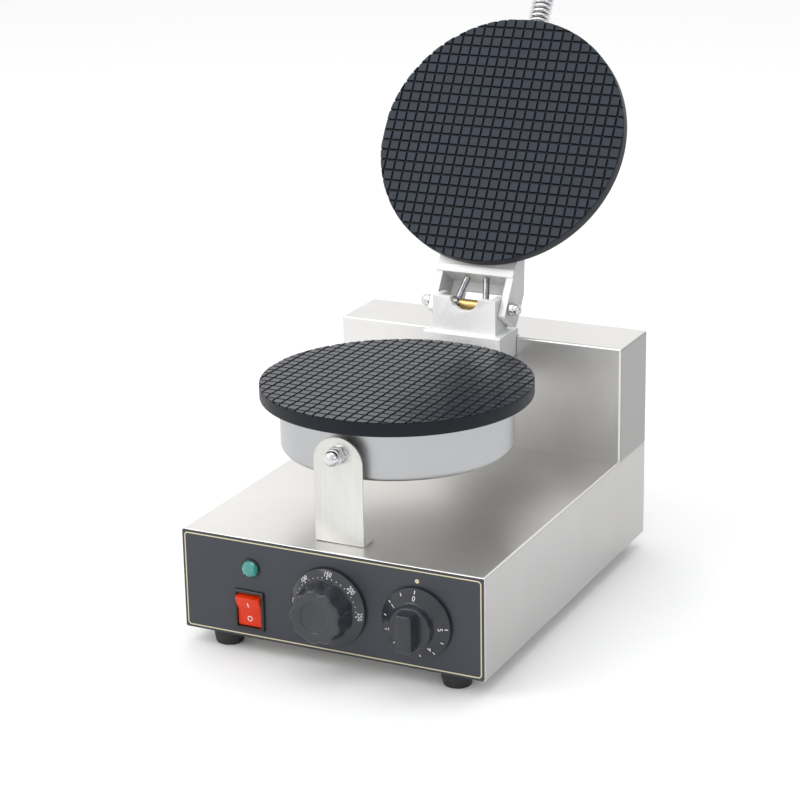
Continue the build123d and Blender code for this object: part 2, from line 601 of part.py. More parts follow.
with BuildPart() as timer_knob:
    with BuildSketch(timer_axis.offset(KNOB_GAP)):
        Circle(TIMER_SKIRT_R)
    extrude(amount=TIMER_FLANGE)
    with BuildSketch(timer_axis.offset(KNOB_GAP + TIMER_FLANGE)):
        Circle(TIMER_SKIRT_R)
    extrude(amount=4.4, taper=50)
    with BuildSketch(timer_axis.offset(KNOB_GAP + TIMER_FLANGE)):
        Circle(COLLAR_R)
    extrude(amount=12.0, taper=4)
    with BuildSketch(timer_axis.offset(KNOB_GAP + TIMER_FLANGE)):
        Rectangle(*BAR_GRIP)
    extrude(amount=23.0, taper=3)
    fillet(timer_knob.edges().group_by(Axis.Y)[0], radius=1.0)
    with BuildSketch(timer_axis.offset(KNOB_GAP)):
        Circle(SHAFT_R)
    extrude(amount=SHAFT_SPAN[1] - KNOB_GAP, mode=Mode.SUBTRACT)
timer_knob.part.label = "timer_knob"
export_step(timer_knob.part, "parts/timer_knob.step")

# ==== cable gland: flanged nut outside, threaded body with a through bore, lock nut inside =====
GLAND_BORE_R = 4.0
GLAND_HEX = 5.0                  # length of the gland's hexagon, cone and inner thread
GLAND_CONE = 11.0
GLAND_THREAD = 12.0
GLAND_ACROSS = 22.0
gland_axis = Plane(origin=(GLAND_X, BACK_Y, GLAND_Z), x_dir=(-1, 0, 0), z_dir=(0, 1, 0))
with BuildPart() as cable_gland:
    with BuildSketch(gland_axis):
        RegularPolygon(radius=GLAND_ACROSS / 2, side_count=6, major_radius=False)
    extrude(amount=GLAND_HEX)
    with BuildSketch(gland_axis.offset(GLAND_HEX)):
        Circle(10.0)
    extrude(amount=GLAND_CONE, taper=8)
    with BuildSketch(gland_axis):
        Circle(GLAND_HOLE_R - 0.1)
    extrude(amount=-GLAND_THREAD)
    with BuildSketch(gland_axis.offset(GLAND_HEX + GLAND_CONE)):
        Circle(GLAND_BORE_R)
    extrude(amount=-GLAND_HEX - GLAND_CONE - GLAND_THREAD, mode=Mode.SUBTRACT)
cable_gland.part.label = "cable_gland"
export_step(cable_gland.part, "parts/cable_gland.step")

with BuildPart() as gland_nut:
    with BuildSketch(gland_axis.offset(-SHEET)):
        RegularPolygon(radius=GLAND_ACROSS / 2, side_count=6, major_radius=False)
        Circle(GLAND_HOLE_R - 0.1, mode=Mode.SUBTRACT)
    extrude(amount=-4.5)
gland_nut.part.label = "gland_nut"
export_step(gland_nut.part, "parts/gland_nut.step")

# ==== terminal block and earth stud on the bottom plate ========================================
FLOOR_Z = BASE_BOTTOM + SHEET
BLOCK_X, BLOCK_Y = 92.0, BACK_Y - 80.0
BLOCK_BASE = (22.0, 46.0)
BLOCK_HEIGHT = 14.0
STUD_Y = BACK_Y - 44.0
STUD_HEX_HEIGHT = 4.0
with BuildPart() as terminal_block:
    with BuildSketch(Plane.XY.offset(FLOOR_Z)):
        with Locations((BLOCK_X, BLOCK_Y)):
            Rectangle(*BLOCK_BASE)
    extrude(amount=BLOCK_HEIGHT)
    with BuildSketch(Plane.XY.offset(FLOOR_Z + BLOCK_HEIGHT)):
        with Locations((BLOCK_X, BLOCK_Y)):
            with GridLocations(0, 14, 1, 3):
                Rectangle(20, 9)
    extrude(amount=6)
terminal_block.part.label = "terminal_block"
export_step(terminal_block.part, "parts/terminal_block.step")

with BuildPart() as earth_stud:
    with BuildSketch(Plane.XY.offset(FLOOR_Z)):
        with Locations((BLOCK_X, STUD_Y)):
            RegularPolygon(radius=4.0, side_count=6, major_radius=False)
    extrude(amount=STUD_HEX_HEIGHT)
    with BuildSketch(Plane.XY.offset(FLOOR_Z + STUD_HEX_HEIGHT)):
        with Locations((BLOCK_X, STUD_Y)):
            Circle(2.5)
    extrude(amount=12)
earth_stud.part.label = "earth_stud"
export_step(earth_stud.part, "parts/earth_stud.step")


# ==== heads: plate, heater can, element, insulation and can screws, alike above and below ======
ELEMENT_DROP = ELEMENT_R + 0.2   # element axis from the plate's back
LOWER_INSULATION = (25.0, 12.0)  # distance from the plate's back, and thickness
UPPER_INSULATION = (24.2, 2.6)
PLATE_BOLT_R = 2.5
PLATE_BOLT_DEPTH = 8.0
CAN_SCREW_R = 2.0
CAN_SCREW_HEAD_R = 4.0
CAN_SCREW_LENGTH = 12.0
CAN_CORNER = 4.0
leg_angles = (90 - (360 - ELEMENT_ARC) / 2, 90 + (360 - ELEMENT_ARC) / 2)


def plate_casting(frame, can_depth, holes):
    """Round baking plate with three screw pillars on its back; holes are blind tapped holes."""
    with BuildPart() as casting:
        with BuildSketch(frame.offset(-PLATE_THICK)):
            Circle(PLATE_R)
        extrude(amount=PLATE_THICK)
        fillet(casting.edges().filter_by(GeomType.CIRCLE), radius=1.2)
        with BuildSketch(frame):
            with PolarLocations(PILLAR_RING, 3):
                Circle(PILLAR_R)
        extrude(amount=can_depth - CAN_SHEET)
        with BuildSketch(frame.offset(can_depth - CAN_SHEET)):
            with PolarLocations(PILLAR_RING, 3):
                Circle(CAN_SCREW_R)
        extrude(amount=-CAN_SCREW_LENGTH, mode=Mode.SUBTRACT)
        with BuildSketch(frame):
            with Locations(*holes):
                Circle(PLATE_BOLT_R)
        extrude(amount=-PLATE_BOLT_DEPTH, mode=Mode.SUBTRACT)
    return casting


def heater_can(frame, can_depth, bolt_drop, lead_drop, lead_r):
    """Drawn cup over the plate's back: bolt hole in its front wall, lead hole in its rear wall.
    Both holes are placed by their distance from the plate's back."""
    section = Plane(origin=frame.origin, x_dir=frame.x_dir, z_dir=-frame.y_dir)
    front_wall = Plane(
        origin=frame.from_local_coords((0, -CAN_R - 2, bolt_drop)),
        x_dir=frame.x_dir,
        z_dir=frame.y_dir,
    )
    rear_wall = Plane(
        origin=frame.from_local_coords((0, CAN_R + 2, lead_drop)),
        x_dir=frame.x_dir,
        z_dir=frame.y_dir,
    )
    with BuildPart() as can:
        with BuildSketch(section):
            with BuildLine():
                outside = FilletPolyline(
                    (CAN_R, 0), (CAN_R, can_depth), (0, can_depth), radius=CAN_CORNER
                )
                inside = FilletPolyline(
                    (0, can_depth - CAN_SHEET),
                    (CAN_R - CAN_SHEET, can_depth - CAN_SHEET),
                    (CAN_R - CAN_SHEET, 0),
                    radius=CAN_CORNER - CAN_SHEET,
                )
                Line(outside @ 1, inside @ 0)
                Line(inside @ 1, outside @ 0)
            make_face()
        revolve(axis=Axis(frame.origin, frame.z_dir))
        with BuildSketch(frame.offset(can_depth - CAN_SHEET)):
            with PolarLocations(PILLAR_RING, 3):
                Circle(CAN_SCREW_R + HOLE_CLEAR)
        extrude(amount=CAN_SHEET, mode=Mode.SUBTRACT)
        with BuildSketch(front_wall):
            Circle(STRAP_BOLT_R + 0.1)
        extrude(amount=6, mode=Mode.SUBTRACT)
        with BuildSketch(rear_wall):
            Circle(lead_r + 0.1)
        extrude(amount=-6, mode=Mode.SUBTRACT)
    return can


def heating_element(frame, can_depth):
    """Tubular heater bent to an open ring, with both ends turned away from the plate."""
    with BuildPart() as element:
        with BuildLine(frame.offset(ELEMENT_DROP)) as ring:
            CenterArc((0, 0), ELEMENT_RING, leg_angles[1], ELEMENT_ARC)
        with BuildSketch(Plane(origin=ring.line @ 0, z_dir=ring.line % 0)):
            Circle(ELEMENT_R)
        sweep()
        with BuildSketch(frame.offset(ELEMENT_DROP)):
            for angle in leg_angles:
                with PolarLocations(ELEMENT_RING, 1, start_angle=angle):
                    Circle(ELEMENT_R)
        extrude(amount=can_depth - CAN_SHEET - ELEMENT_DROP - 3)
    return element


def insulation_disc(frame, drop, thickness):
    """Fibre disc that lies in the can, with holes for pillars and element legs."""
    with BuildPart() as disc:
        with BuildSketch(frame.offset(drop)):
            Circle(CAN_R - CAN_SHEET - 3.0)
            with PolarLocations(PILLAR_RING, 3):
                Circle(PILLAR_R + 0.4, mode=Mode.SUBTRACT)
            for angle in leg_angles:
                with PolarLocations(ELEMENT_RING, 1, start_angle=angle):
                    Circle(ELEMENT_R + 0.4, mode=Mode.SUBTRACT)
        extrude(amount=thickness)
    return disc


def can_screws(frame, can_depth):
    """Three pan-head screws through the can's end into the plate's pillars."""
    with BuildPart() as screws:
        with BuildSketch(frame.offset(can_depth)):
            with PolarLocations(PILLAR_RING, 3):
                Circle(CAN_SCREW_HEAD_R)
        extrude(amount=2.4)
        fillet(screws.edges().sort_by(Axis(frame.origin, frame.z_dir))[-3:], radius=1.2)
        with BuildSketch(frame.offset(can_depth)):
            with PolarLocations(PILLAR_RING, 3):
                Circle(CAN_SCREW_R)
        extrude(amount=-CAN_SCREW_LENGTH)
    return screws


TONGUE_BOLTS = (20.0, HINGE_TO_CENTRE - 38.0)   # local X each way and Y, on the lower plate
ARM_BOLTS = (18.0, HINGE_TO_CENTRE - 39.5)      # the same on the upper plate

lower_plate = plate_casting(
    lower_plane, LOWER_CAN_DEPTH, [(-TONGUE_BOLTS[0], TONGUE_BOLTS[1]), TONGUE_BOLTS]
)
lower_plate.part.label = "lower_plate"
export_step(lower_plate.part, "parts/lower_plate.step")
upper_plate = plate_casting(
    upper_plane, UPPER_CAN_DEPTH, [(-ARM_BOLTS[0], ARM_BOLTS[1]), ARM_BOLTS]
)
upper_plate.part.label = "upper_plate"
export_step(upper_plate.part, "parts/upper_plate.step")

lower_heater_can = heater_can(
    lower_plane, LOWER_CAN_DEPTH, PLATE_BACK - STRAP_BOLT_Z, CONDUIT_DROP, CONDUIT_R
)
lower_heater_can.part.label = "lower_heater_can"
export_step(lower_heater_can.part, "parts/lower_heater_can.step")
upper_heater_can = heater_can(
    upper_plane, UPPER_CAN_DEPTH, HANDLE_RISE - LID_BACK, GROMMET_DROP, GROMMET_R
)
upper_heater_can.part.label = "upper_heater_can"
export_step(upper_heater_can.part, "parts/upper_heater_can.step")

lower_element = heating_element(lower_plane, LOWER_CAN_DEPTH)
lower_element.part.label = "lower_element"
export_step(lower_element.part, "parts/lower_element.step")
upper_element = heating_element(upper_plane, UPPER_CAN_DEPTH)
upper_element.part.label = "upper_element"
export_step(upper_element.part, "parts/upper_element.step")

lower_insulation = insulation_disc(lower_plane, *LOWER_INSULATION)
lower_insulation.part.label = "lower_insulation"
export_step(lower_insulation.part, "parts/lower_insulation.step")
upper_insulation = insulation_disc(upper_plane, *UPPER_INSULATION)
upper_insulation.part.label = "upper_insulation"
export_step(upper_insulation.part, "parts/upper_insulation.step")

lower_can_screws = can_screws(lower_plane, LOWER_CAN_DEPTH)
lower_can_screws.part.label = "lower_can_screws"
export_step(lower_can_screws.part, "parts/lower_can_screws.step")
upper_can_screws = can_screws(upper_plane, UPPER_CAN_DEPTH)
upper_can_screws.part.label = "upper_can_screws"
export_step(upper_can_screws.part, "parts/upper_can_screws.step")

# ==== lead conduit from the tower to the lower can, and the upper can's grommet ================
CONDUIT_WALL = 1.2
CONDUIT_ENDS = (TOWER_Y + SHEET + 4.0, PLATE_Y + CAN_R - 1.4)
GROMMET_RIM = 1.6
with BuildPart() as lead_conduit:
    with BuildSketch(Plane.XZ.offset(-CONDUIT_ENDS[0])):
        with Locations((0, CONDUIT_Z)):
            Circle(CONDUIT_R)
            Circle(CONDUIT_R - CONDUIT_WALL, mode=Mode.SUBTRACT)
    extrude(amount=CONDUIT_ENDS[0] - CONDUIT_ENDS[1])
lead_conduit.part.label = "lead_conduit"
export_step(lead_conduit.part, "parts/lead_conduit.step")

grommet_plane = Plane(
    origin=upper_plane.from_local_coords((0, CAN_R, GROMMET_DROP)),
    x_dir=upper_plane.x_dir,
    z_dir=upper_plane.y_dir,
)
with BuildPart() as lead_grommet:
    with BuildSketch(grommet_plane):
        Circle(GROMMET_R + 1.4)
    extrude(amount=GROMMET_RIM)
    with BuildSketch(grommet_plane):
        Circle(GROMMET_R)
    extrude(amount=-1.4)
    with BuildSketch(grommet_plane.offset(GROMMET_RIM)):
        Circle(GROMMET_R - 1.8)
    extrude(amount=-3.0, mode=Mode.SUBTRACT)
lead_grommet.part.label = "lead_grommet"
export_step(lead_grommet.part, "parts/lead_grommet.step")

# ==== front strap: bent strip from the base's top to the lower can, with its fixings ===========
STRAP_BACK = STRAP_Y + STRAP_THICK
STRAP_FOOT_Y = FRONT_Y + 34.0
CAN_FRONT = PLATE_Y - CAN_R
STRAP_ARCH_Z = STRAP_BOLT_Z - 6.5   # centre of the strap's round end
BOLT_SEAT = STRAP_Y - CAN_FRONT - CAN_SHEET - 0.3
BOLT_REACH = 7.0                 # of the bolt into the dome nut
NUT_RADIUS = 6.5                 # half across flats of the bolt's head and the handle's nuts
with BuildPart() as front_strap:
    with BuildSketch(Plane.XZ.offset(-STRAP_Y)):
        with Locations((0, (BASE_TOP + STRAP_ARCH_Z) / 2)):
            Rectangle(2 * STRAP_HALF, STRAP_ARCH_Z - BASE_TOP)
        with Locations((0, STRAP_ARCH_Z)):
            Circle(STRAP_HALF)
        with Locations((0, STRAP_BOLT_Z)):
            Circle(STRAP_BOLT_R + 0.1, mode=Mode.SUBTRACT)
    extrude(amount=-STRAP_THICK)
    with BuildSketch(Plane.XY.offset(BASE_TOP)):
        with Locations((0, (STRAP_Y + STRAP_FOOT_Y) / 2)):
            Rectangle(2 * STRAP_HALF, STRAP_FOOT_Y - STRAP_Y)
        with Locations(*strap_screw_places):
            Circle(STRAP_SCREW_R + HOLE_CLEAR, mode=Mode.SUBTRACT)
    extrude(amount=STRAP_THICK)
    fillet(front_strap.edges().filter_by(Axis.X).group_by(Axis.Z)[0].sort_by(Axis.Y)[0], radius=1.4)
front_strap.part.label = "front_strap"
export_step(front_strap.part, "parts/front_strap.step")

with BuildPart() as strap_screws:
    with BuildSketch(Plane.XY.offset(BASE_TOP + STRAP_THICK)):
        with Locations(*strap_screw_places):
            Circle(4.2)
    extrude(amount=2.6)
    fillet(strap_screws.edges().group_by(Axis.Z)[-1], radius=1.6)
    with BuildSketch(Plane.XY.offset(BASE_TOP + STRAP_THICK)):
        with Locations(*strap_screw_places):
            Circle(STRAP_SCREW_R)
    extrude(amount=-10)
strap_screws.part.label = "strap_screws"
export_step(strap_screws.part, "parts/strap_screws.step")

strap_axis = Plane(origin=(0, STRAP_Y, STRAP_BOLT_Z), x_dir=(1, 0, 0), z_dir=(0, -1, 0))
with BuildPart() as strap_spacer:
    with BuildSketch(strap_axis.offset(-STRAP_THICK)):
        Circle(7.0)
        Circle(STRAP_BOLT_R, mode=Mode.SUBTRACT)
    extrude(amount=STRAP_BACK - CAN_FRONT)
strap_spacer.part.label = "strap_spacer"
export_step(strap_spacer.part, "parts/strap_spacer.step")

with BuildPart() as strap_bolt:
    with BuildSketch(strap_axis.offset(BOLT_SEAT)):
        RegularPolygon(radius=NUT_RADIUS, side_count=6, major_radius=False)
    extrude(amount=-5.3)
    with BuildSketch(strap_axis.offset(BOLT_SEAT)):
        Circle(STRAP_BOLT_R)
    extrude(amount=BOLT_REACH - BOLT_SEAT)
strap_bolt.part.label = "strap_bolt"
export_step(strap_bolt.part, "parts/strap_bolt.step")


def acorn_nut(seat, across_flats, hex_height, dome_r, bore_r, bore_depth):
    """Dome nut on the plane seat: a chamfered hexagon with a ball end and a blind hole."""
    with BuildPart() as nut:
        with BuildSketch(seat):
            RegularPolygon(radius=across_flats / 2, side_count=6, major_radius=False)
        extrude(amount=hex_height)
        with BuildSketch(seat):
            Circle(across_flats / 2 * 1.08)
        extrude(amount=hex_height, mode=Mode.INTERSECT)
        with BuildSketch(seat):
            Circle(dome_r)
        extrude(amount=hex_height + 0.6)
        with Locations(seat.offset(hex_height + 0.6)):
            Sphere(dome_r)
        with BuildSketch(seat):
            Circle(bore_r)
        extrude(amount=bore_depth, mode=Mode.SUBTRACT)
    return nut


strap_acorn_nut = acorn_nut(strap_axis, 2 * NUT_RADIUS, 8.0, 6.1, STRAP_BOLT_R, BOLT_REACH)
strap_acorn_nut.part.label = "strap_acorn_nut"
export_step(strap_acorn_nut.part, "parts/strap_acorn_nut.step")

# ==== tower support: welded portal inside the tower that carries the hinge bracket =============
SHANK_BOTTOM = PLATE_BACK - 8.0
SHELF_Y = BACK_Y - 28.0
SHELF_DEPTH = 38.0
SHELF_WIDTH = 92.0
PORTAL_SHEET = 3.0
PORTAL_FOOT = 18.0
SHANK_BOLT_X = 20.0
SHANK_BOLT_R = 3.0
PORTAL_SCREWS = (108.0, 22.0)    # spacing of the four screws in the portal's feet
PORTAL_SCREW_R = 2.5
shank_bolt_places = [(-SHANK_BOLT_X, SHELF_Y), (SHANK_BOLT_X, SHELF_Y)]
with BuildPart() as tower_support:
    with BuildSketch(Plane.XY.offset(SHANK_BOTTOM - PORTAL_SHEET)):
        with Locations((0, SHELF_Y)):
            Rectangle(SHELF_WIDTH, SHELF_DEPTH)
        with Locations(*shank_bolt_places):
            Circle(SHANK_BOLT_R + 0.1, mode=Mode.SUBTRACT)
    extrude(amount=PORTAL_SHEET)
    for side in (-1, 1):
        with BuildSketch(Plane.XY.offset(FLOOR_Z)):
            with Locations((side * (SHELF_WIDTH - PORTAL_SHEET) / 2, SHELF_Y)):
                Rectangle(PORTAL_SHEET, SHELF_DEPTH)
        extrude(amount=SHANK_BOTTOM - FLOOR_Z)
        with BuildSketch(Plane.XY.offset(FLOOR_Z)):
            with Locations((side * (SHELF_WIDTH / 2 - PORTAL_SHEET + PORTAL_FOOT / 2), SHELF_Y)):
                Rectangle(PORTAL_FOOT, SHELF_DEPTH)
        extrude(amount=PORTAL_SHEET)
    with BuildSketch(Plane.XY.offset(FLOOR_Z)):
        with Locations((0, SHELF_Y)):
            with GridLocations(*PORTAL_SCREWS, 2, 2):
                Circle(PORTAL_SCREW_R + 0.1)
    extrude(amount=PORTAL_SHEET, mode=Mode.SUBTRACT)
tower_support.part.label = "tower_support"
export_step(tower_support.part, "parts/tower_support.step")

with BuildPart() as support_screws:
    with BuildSketch(Plane.XY.offset(FLOOR_Z + PORTAL_SHEET)):
        with Locations((0, SHELF_Y)):
            with GridLocations(*PORTAL_SCREWS, 2, 2):
                RegularPolygon(radius=4.0, side_count=6, major_radius=False)
    extrude(amount=3.5)
    with BuildSketch(Plane.XY.offset(FLOOR_Z)):
        with Locations((0, SHELF_Y)):
            with GridLocations(*PORTAL_SCREWS, 2, 2):
                Circle(PORTAL_SCREW_R)
    extrude(amount=PORTAL_SHEET)
support_screws.part.label = "support_screws"
export_step(support_screws.part, "parts/support_screws.step")

# ==== hinge bracket: aluminium casting under the hinge, from the tower to the lower plate ======
SLAB_TOP = BASE_BOTTOM + 182.0
WEB_Y = HINGE_Y - 14.0           # front face of the notched web
WEB_THICK = 5.0
WEB_TOP = BASE_BOTTOM + 210.6
TONGUE_FRONT = PLATE_Y + CAN_R + 1.5
SLAB_FRONT = HINGE_Y - 20.0
SLAB_BACK = NOTCH_BACK - 2.0
EAR_BACK = 9.0                   # ears end this far behind the hinge axis
TONGUE_THICK = 8.0
SHANK_TOP = TOWER_TOP - SHEET - 1.0
SHANK_BACK = SHELF_Y + SHELF_DEPTH / 2 - 4.0
NOTCH_R = 12.2                   # round notch in the web's top
SHANK_BOLT_DEPTH = 10.0
tongue_bolt_places = [(side * TONGUE_BOLTS[0], PLATE_Y + TONGUE_BOLTS[1]) for side in (-1, 1)]
side_plane = Plane(origin=(-CHEEK_OUT, 0, 0), x_dir=(0, 1, 0), z_dir=(1, 0, 0))
with BuildPart() as hinge_bracket:
    with BuildSketch(side_plane):
        with BuildLine():
            Polyline(
                (TONGUE_FRONT, PLATE_BACK), (SLAB_FRONT, PLATE_BACK), (SLAB_FRONT, SLAB_TOP),
                (SLAB_BACK, SLAB_TOP), (SLAB_BACK, SHANK_TOP), (SHANK_BACK, SHANK_TOP),
                (SHANK_BACK, SHANK_BOTTOM), (SLAB_FRONT, SHANK_BOTTOM),
                (TONGUE_FRONT, PLATE_BACK - TONGUE_THICK), (TONGUE_FRONT, PLATE_BACK),
            )
        make_face()
    extrude(amount=2 * CHEEK_OUT)
    slab_edges = hinge_bracket.edges().filter_by(Axis.X).group_by(Axis.Z)[-1]
    fillet(slab_edges, radius=1.5)
    with BuildSketch(Plane.XZ.offset(-WEB_Y)):
        with Locations((0, (SLAB_TOP - 2 + WEB_TOP) / 2)):
            Rectangle(2 * EAR_OUT, WEB_TOP - SLAB_TOP + 2)
        with Locations((0, WEB_TOP + 1.3)):
            Circle(NOTCH_R, mode=Mode.SUBTRACT)
    extrude(amount=-WEB_THICK)
    for side in (-1, 1):
        ear_x = side * EAR_OUT if side < 0 else EAR_IN
        with BuildSketch(Plane(origin=(ear_x, 0, 0), x_dir=(0, 1, 0), z_dir=(1, 0, 0))):
            with BuildLine():
                Polyline(
                    (WEB_Y, SLAB_TOP - 1), (WEB_Y, WEB_TOP), (HINGE_Y + 3, WEB_TOP),
                    (HINGE_Y + EAR_BACK, WEB_TOP - 8), (HINGE_Y + EAR_BACK, SLAB_TOP - 1),
                    (WEB_Y, SLAB_TOP - 1),
                )
            make_face()
        extrude(amount=EAR_OUT - EAR_IN)
    with Locations(Plane(origin=(0, HINGE_Y, HINGE_Z), z_dir=(1, 0, 0))):
        Cylinder(HINGE_SHAFT_R + 0.02, 2 * CHEEK_OUT, mode=Mode.SUBTRACT)
    with BuildSketch(Plane.XY.offset(SHANK_BOTTOM)):
        with Locations(*shank_bolt_places):
            Circle(SHANK_BOLT_R)
    extrude(amount=SHANK_BOLT_DEPTH, mode=Mode.SUBTRACT)
    with BuildSketch(Plane.XY.offset(SHANK_BOTTOM - 2)):
        with Locations(*tongue_bolt_places):
            Circle(PLATE_BOLT_R + 0.1)
    extrude(amount=12, mode=Mode.SUBTRACT)
hinge_bracket.part.label = "hinge_bracket"
export_step(hinge_bracket.part, "parts/hinge_bracket.step")

with BuildPart() as bracket_bolts:
    with BuildSketch(Plane.XY.offset(SHANK_BOTTOM - PORTAL_SHEET)):
        with Locations(*shank_bolt_places):
            RegularPolygon(radius=5.0, side_count=6, major_radius=False)
    extrude(amount=-4)
    with BuildSketch(Plane.XY.offset(SHANK_BOTTOM - PORTAL_SHEET)):
        with Locations(*shank_bolt_places):
            Circle(SHANK_BOLT_R)
    extrude(amount=SHANK_BOLT_DEPTH + 2)
    with BuildSketch(Plane.XY.offset(PLATE_BACK - TONGUE_THICK)):
        with Locations(*tongue_bolt_places):
            Circle(4.2)
    extrude(amount=-4)
    with BuildSketch(Plane.XY.offset(PLATE_BACK - TONGUE_THICK)):
        with Locations(*tongue_bolt_places):
            Circle(PLATE_BOLT_R)
    extrude(amount=TONGUE_THICK + PLATE_BOLT_DEPTH - 1)
bracket_bolts.part.label = "bracket_bolts"
export_step(bracket_bolts.part, "parts/bracket_bolts.step")

# ==== hinge shaft with its brass bush and acorn nuts ===========================================
SHAFT_HALF = CHEEK_OUT + 0.3
THREAD_R = 2.6
THREAD_LENGTH = 5.0
hinge_axis = Plane(origin=(0, HINGE_Y, HINGE_Z), x_dir=(0, 1, 0), z_dir=(1, 0, 0))
with BuildPart() as hinge_shaft:
    with BuildSketch(hinge_axis.offset(-SHAFT_HALF)):
        Circle(HINGE_SHAFT_R)
    extrude(amount=2 * SHAFT_HALF)
    with BuildSketch(hinge_axis.offset(-SHAFT_HALF - THREAD_LENGTH)):
        Circle(THREAD_R)
    extrude(amount=2 * SHAFT_HALF + 2 * THREAD_LENGTH)
hinge_shaft.part.label = "hinge_shaft"
export_step(hinge_shaft.part, "parts/hinge_shaft.step")

BUSH_HALF = 9.2
BRASS_R = 4.3
with BuildPart() as brass_bush:
    with BuildSketch(hinge_axis.offset(-BUSH_HALF)):
        Circle(BRASS_R)
        Circle(HINGE_SHAFT_R + 0.02, mode=Mode.SUBTRACT)
    extrude(amount=2 * BUSH_HALF)
    chamfer(brass_bush.faces().filter_by(Axis.X).edges(), length=0.3)
brass_bush.part.label = "brass_bush"
export_step(brass_bush.part, "parts/brass_bush.step")

left_seat = Plane(origin=(-SHAFT_HALF, HINGE_Y, HINGE_Z), x_dir=(0, 1, 0), z_dir=(-1, 0, 0))
left_hinge_nut = acorn_nut(left_seat, 10.0, 4.6, 4.7, THREAD_R, THREAD_LENGTH)
left_hinge_nut.part.label = "left_hinge_nut"
export_step(left_hinge_nut.part, "parts/left_hinge_nut.step")
right_seat = hinge_axis.offset(SHAFT_HALF)
right_hinge_nut = acorn_nut(right_seat, 10.0, 4.6, 4.7, THREAD_R, THREAD_LENGTH)
right_hinge_nut.part.label = "right_hinge_nut"
export_step(right_hinge_nut.part, "parts/right_hinge_nut.step")

# Two rods whose eyes are pressed on the fixed shaft.  They stand in the lid arm's window when the
# lid is open and keep the leads of the upper head off the shaft.
EYE_X = 13.0                     # eyes on the shaft, either side of the brass bush
EYE_R = 5.5
EYE_THICK = 5.0
EYE_ROD_R = 2.7
ROD_LEAN = 11.6                  # degrees that the rods lean towards each other
ROD_LENGTH = 23.3
with BuildPart() as eye_rods:
    for side in (-1, 1):
        eye_centre = lid_plane.from_local_coords((side * EYE_X, 0, 0))
        lean_tip = lid_plane.from_local_coords(
            (side * (EYE_X - sin(radians(ROD_LEAN))), -cos(radians(ROD_LEAN)), 0)
        )
        with BuildSketch(Plane(origin=eye_centre, z_dir=lean_tip - eye_centre)):
            Circle(EYE_ROD_R)
        extrude(amount=ROD_LENGTH)
        with BuildSketch(hinge_axis.offset(side * EYE_X - EYE_THICK / 2)):
            Circle(EYE_R)
        extrude(amount=EYE_THICK)
    with BuildSketch(hinge_axis.offset(-EYE_X - EYE_THICK)):
        Circle(HINGE_SHAFT_R)
    extrude(amount=2 * (EYE_X + EYE_THICK), mode=Mode.SUBTRACT)
eye_rods.part.label = "eye_rods"
export_step(eye_rods.part, "parts/eye_rods.step")

# ==== lid arm: aluminium casting, two cheeks round the bracket's ears and a block on the plate ==
# Distances along the lid (u) and out of its back (n), from the hinge axis.
ARM_TAIL = -9.5
ARM_END_TOP = 7.5
ARM_END = HINGE_TO_CENTRE - CAN_R - 0.6
WINDOW_END = 24.0                # the open window runs from the tail to the cross bar
BAR_END = 30.5
BAR_PROUD = 1.4
BACK_WEB = 18.0                  # inside of the wall that closes the window's back
arm_side = Plane(
    origin=(CHEEK_OUT, HINGE_Y, HINGE_Z), x_dir=-lid_plane.y_dir, z_dir=(-1, 0, 0)
)
ROD_GAP = (16.5, 16.5)           # half width and end of the gap in that wall for the eye rods
ARM_SEAT = 10.0                  # arm bolts' heads sit this far from the plate's back
ARM_HEAD_R = 4.25
ARM_HEAD = 5.0
with BuildPart() as lid_arm:
    with BuildSketch(arm_side) as profile:
        with BuildLine():
            Polyline(
                (ARM_TAIL, LID_BACK), (WINDOW_END, LID_BACK), (WINDOW_END, LID_BACK - BAR_PROUD),
                (BAR_END, LID_BACK - BAR_PROUD), (BAR_END, LID_BACK), (ARM_END, LID_BACK),
                (ARM_END, ARM_END_TOP), (20.0, 22.0), (0.0, 22.0), (ARM_TAIL, 20.5),
                (ARM_TAIL, LID_BACK),
            )
        make_face()
        fillet(profile.vertices().sort_by(Axis.X)[0:2], radius=2.0)
    extrude(amount=2 * CHEEK_OUT)
    with BuildSketch(arm_side.offset(CHEEK_OUT - CHEEK_IN)):
        with Locations(((ARM_TAIL - 5 + WINDOW_END) / 2, (BACK_WEB + LID_BACK - 5) / 2)):
            Rectangle(WINDOW_END - ARM_TAIL + 5, BACK_WEB - LID_BACK + 5)
    extrude(amount=2 * CHEEK_IN, mode=Mode.SUBTRACT)
    with Locations(Plane(origin=(0, HINGE_Y, HINGE_Z), z_dir=(1, 0, 0))):
        Cylinder(HINGE_SHAFT_R + RUNNING_FIT, 2 * CHEEK_OUT, mode=Mode.SUBTRACT)
    with BuildSketch(arm_side.offset(CHEEK_OUT - ROD_GAP[0])):
        with Locations(((ARM_TAIL - 5 + ROD_GAP[1]) / 2, BACK_WEB + 4)):
            Rectangle(ROD_GAP[1] - ARM_TAIL + 5, 10)
    extrude(amount=2 * ROD_GAP[0], mode=Mode.SUBTRACT)
    with BuildSketch(upper_plane):
        with Locations((-ARM_BOLTS[0], ARM_BOLTS[1]), ARM_BOLTS):
            Circle(PLATE_BOLT_R + 0.1)
    extrude(amount=30, mode=Mode.SUBTRACT)
    with BuildSketch(upper_plane.offset(ARM_SEAT)):
        with Locations((-ARM_BOLTS[0], ARM_BOLTS[1]), ARM_BOLTS):
            Circle(ARM_HEAD_R + 0.55)
    extrude(amount=20, mode=Mode.SUBTRACT)
lid_arm.part.label = "lid_arm"
export_step(lid_arm.part, "parts/lid_arm.step")

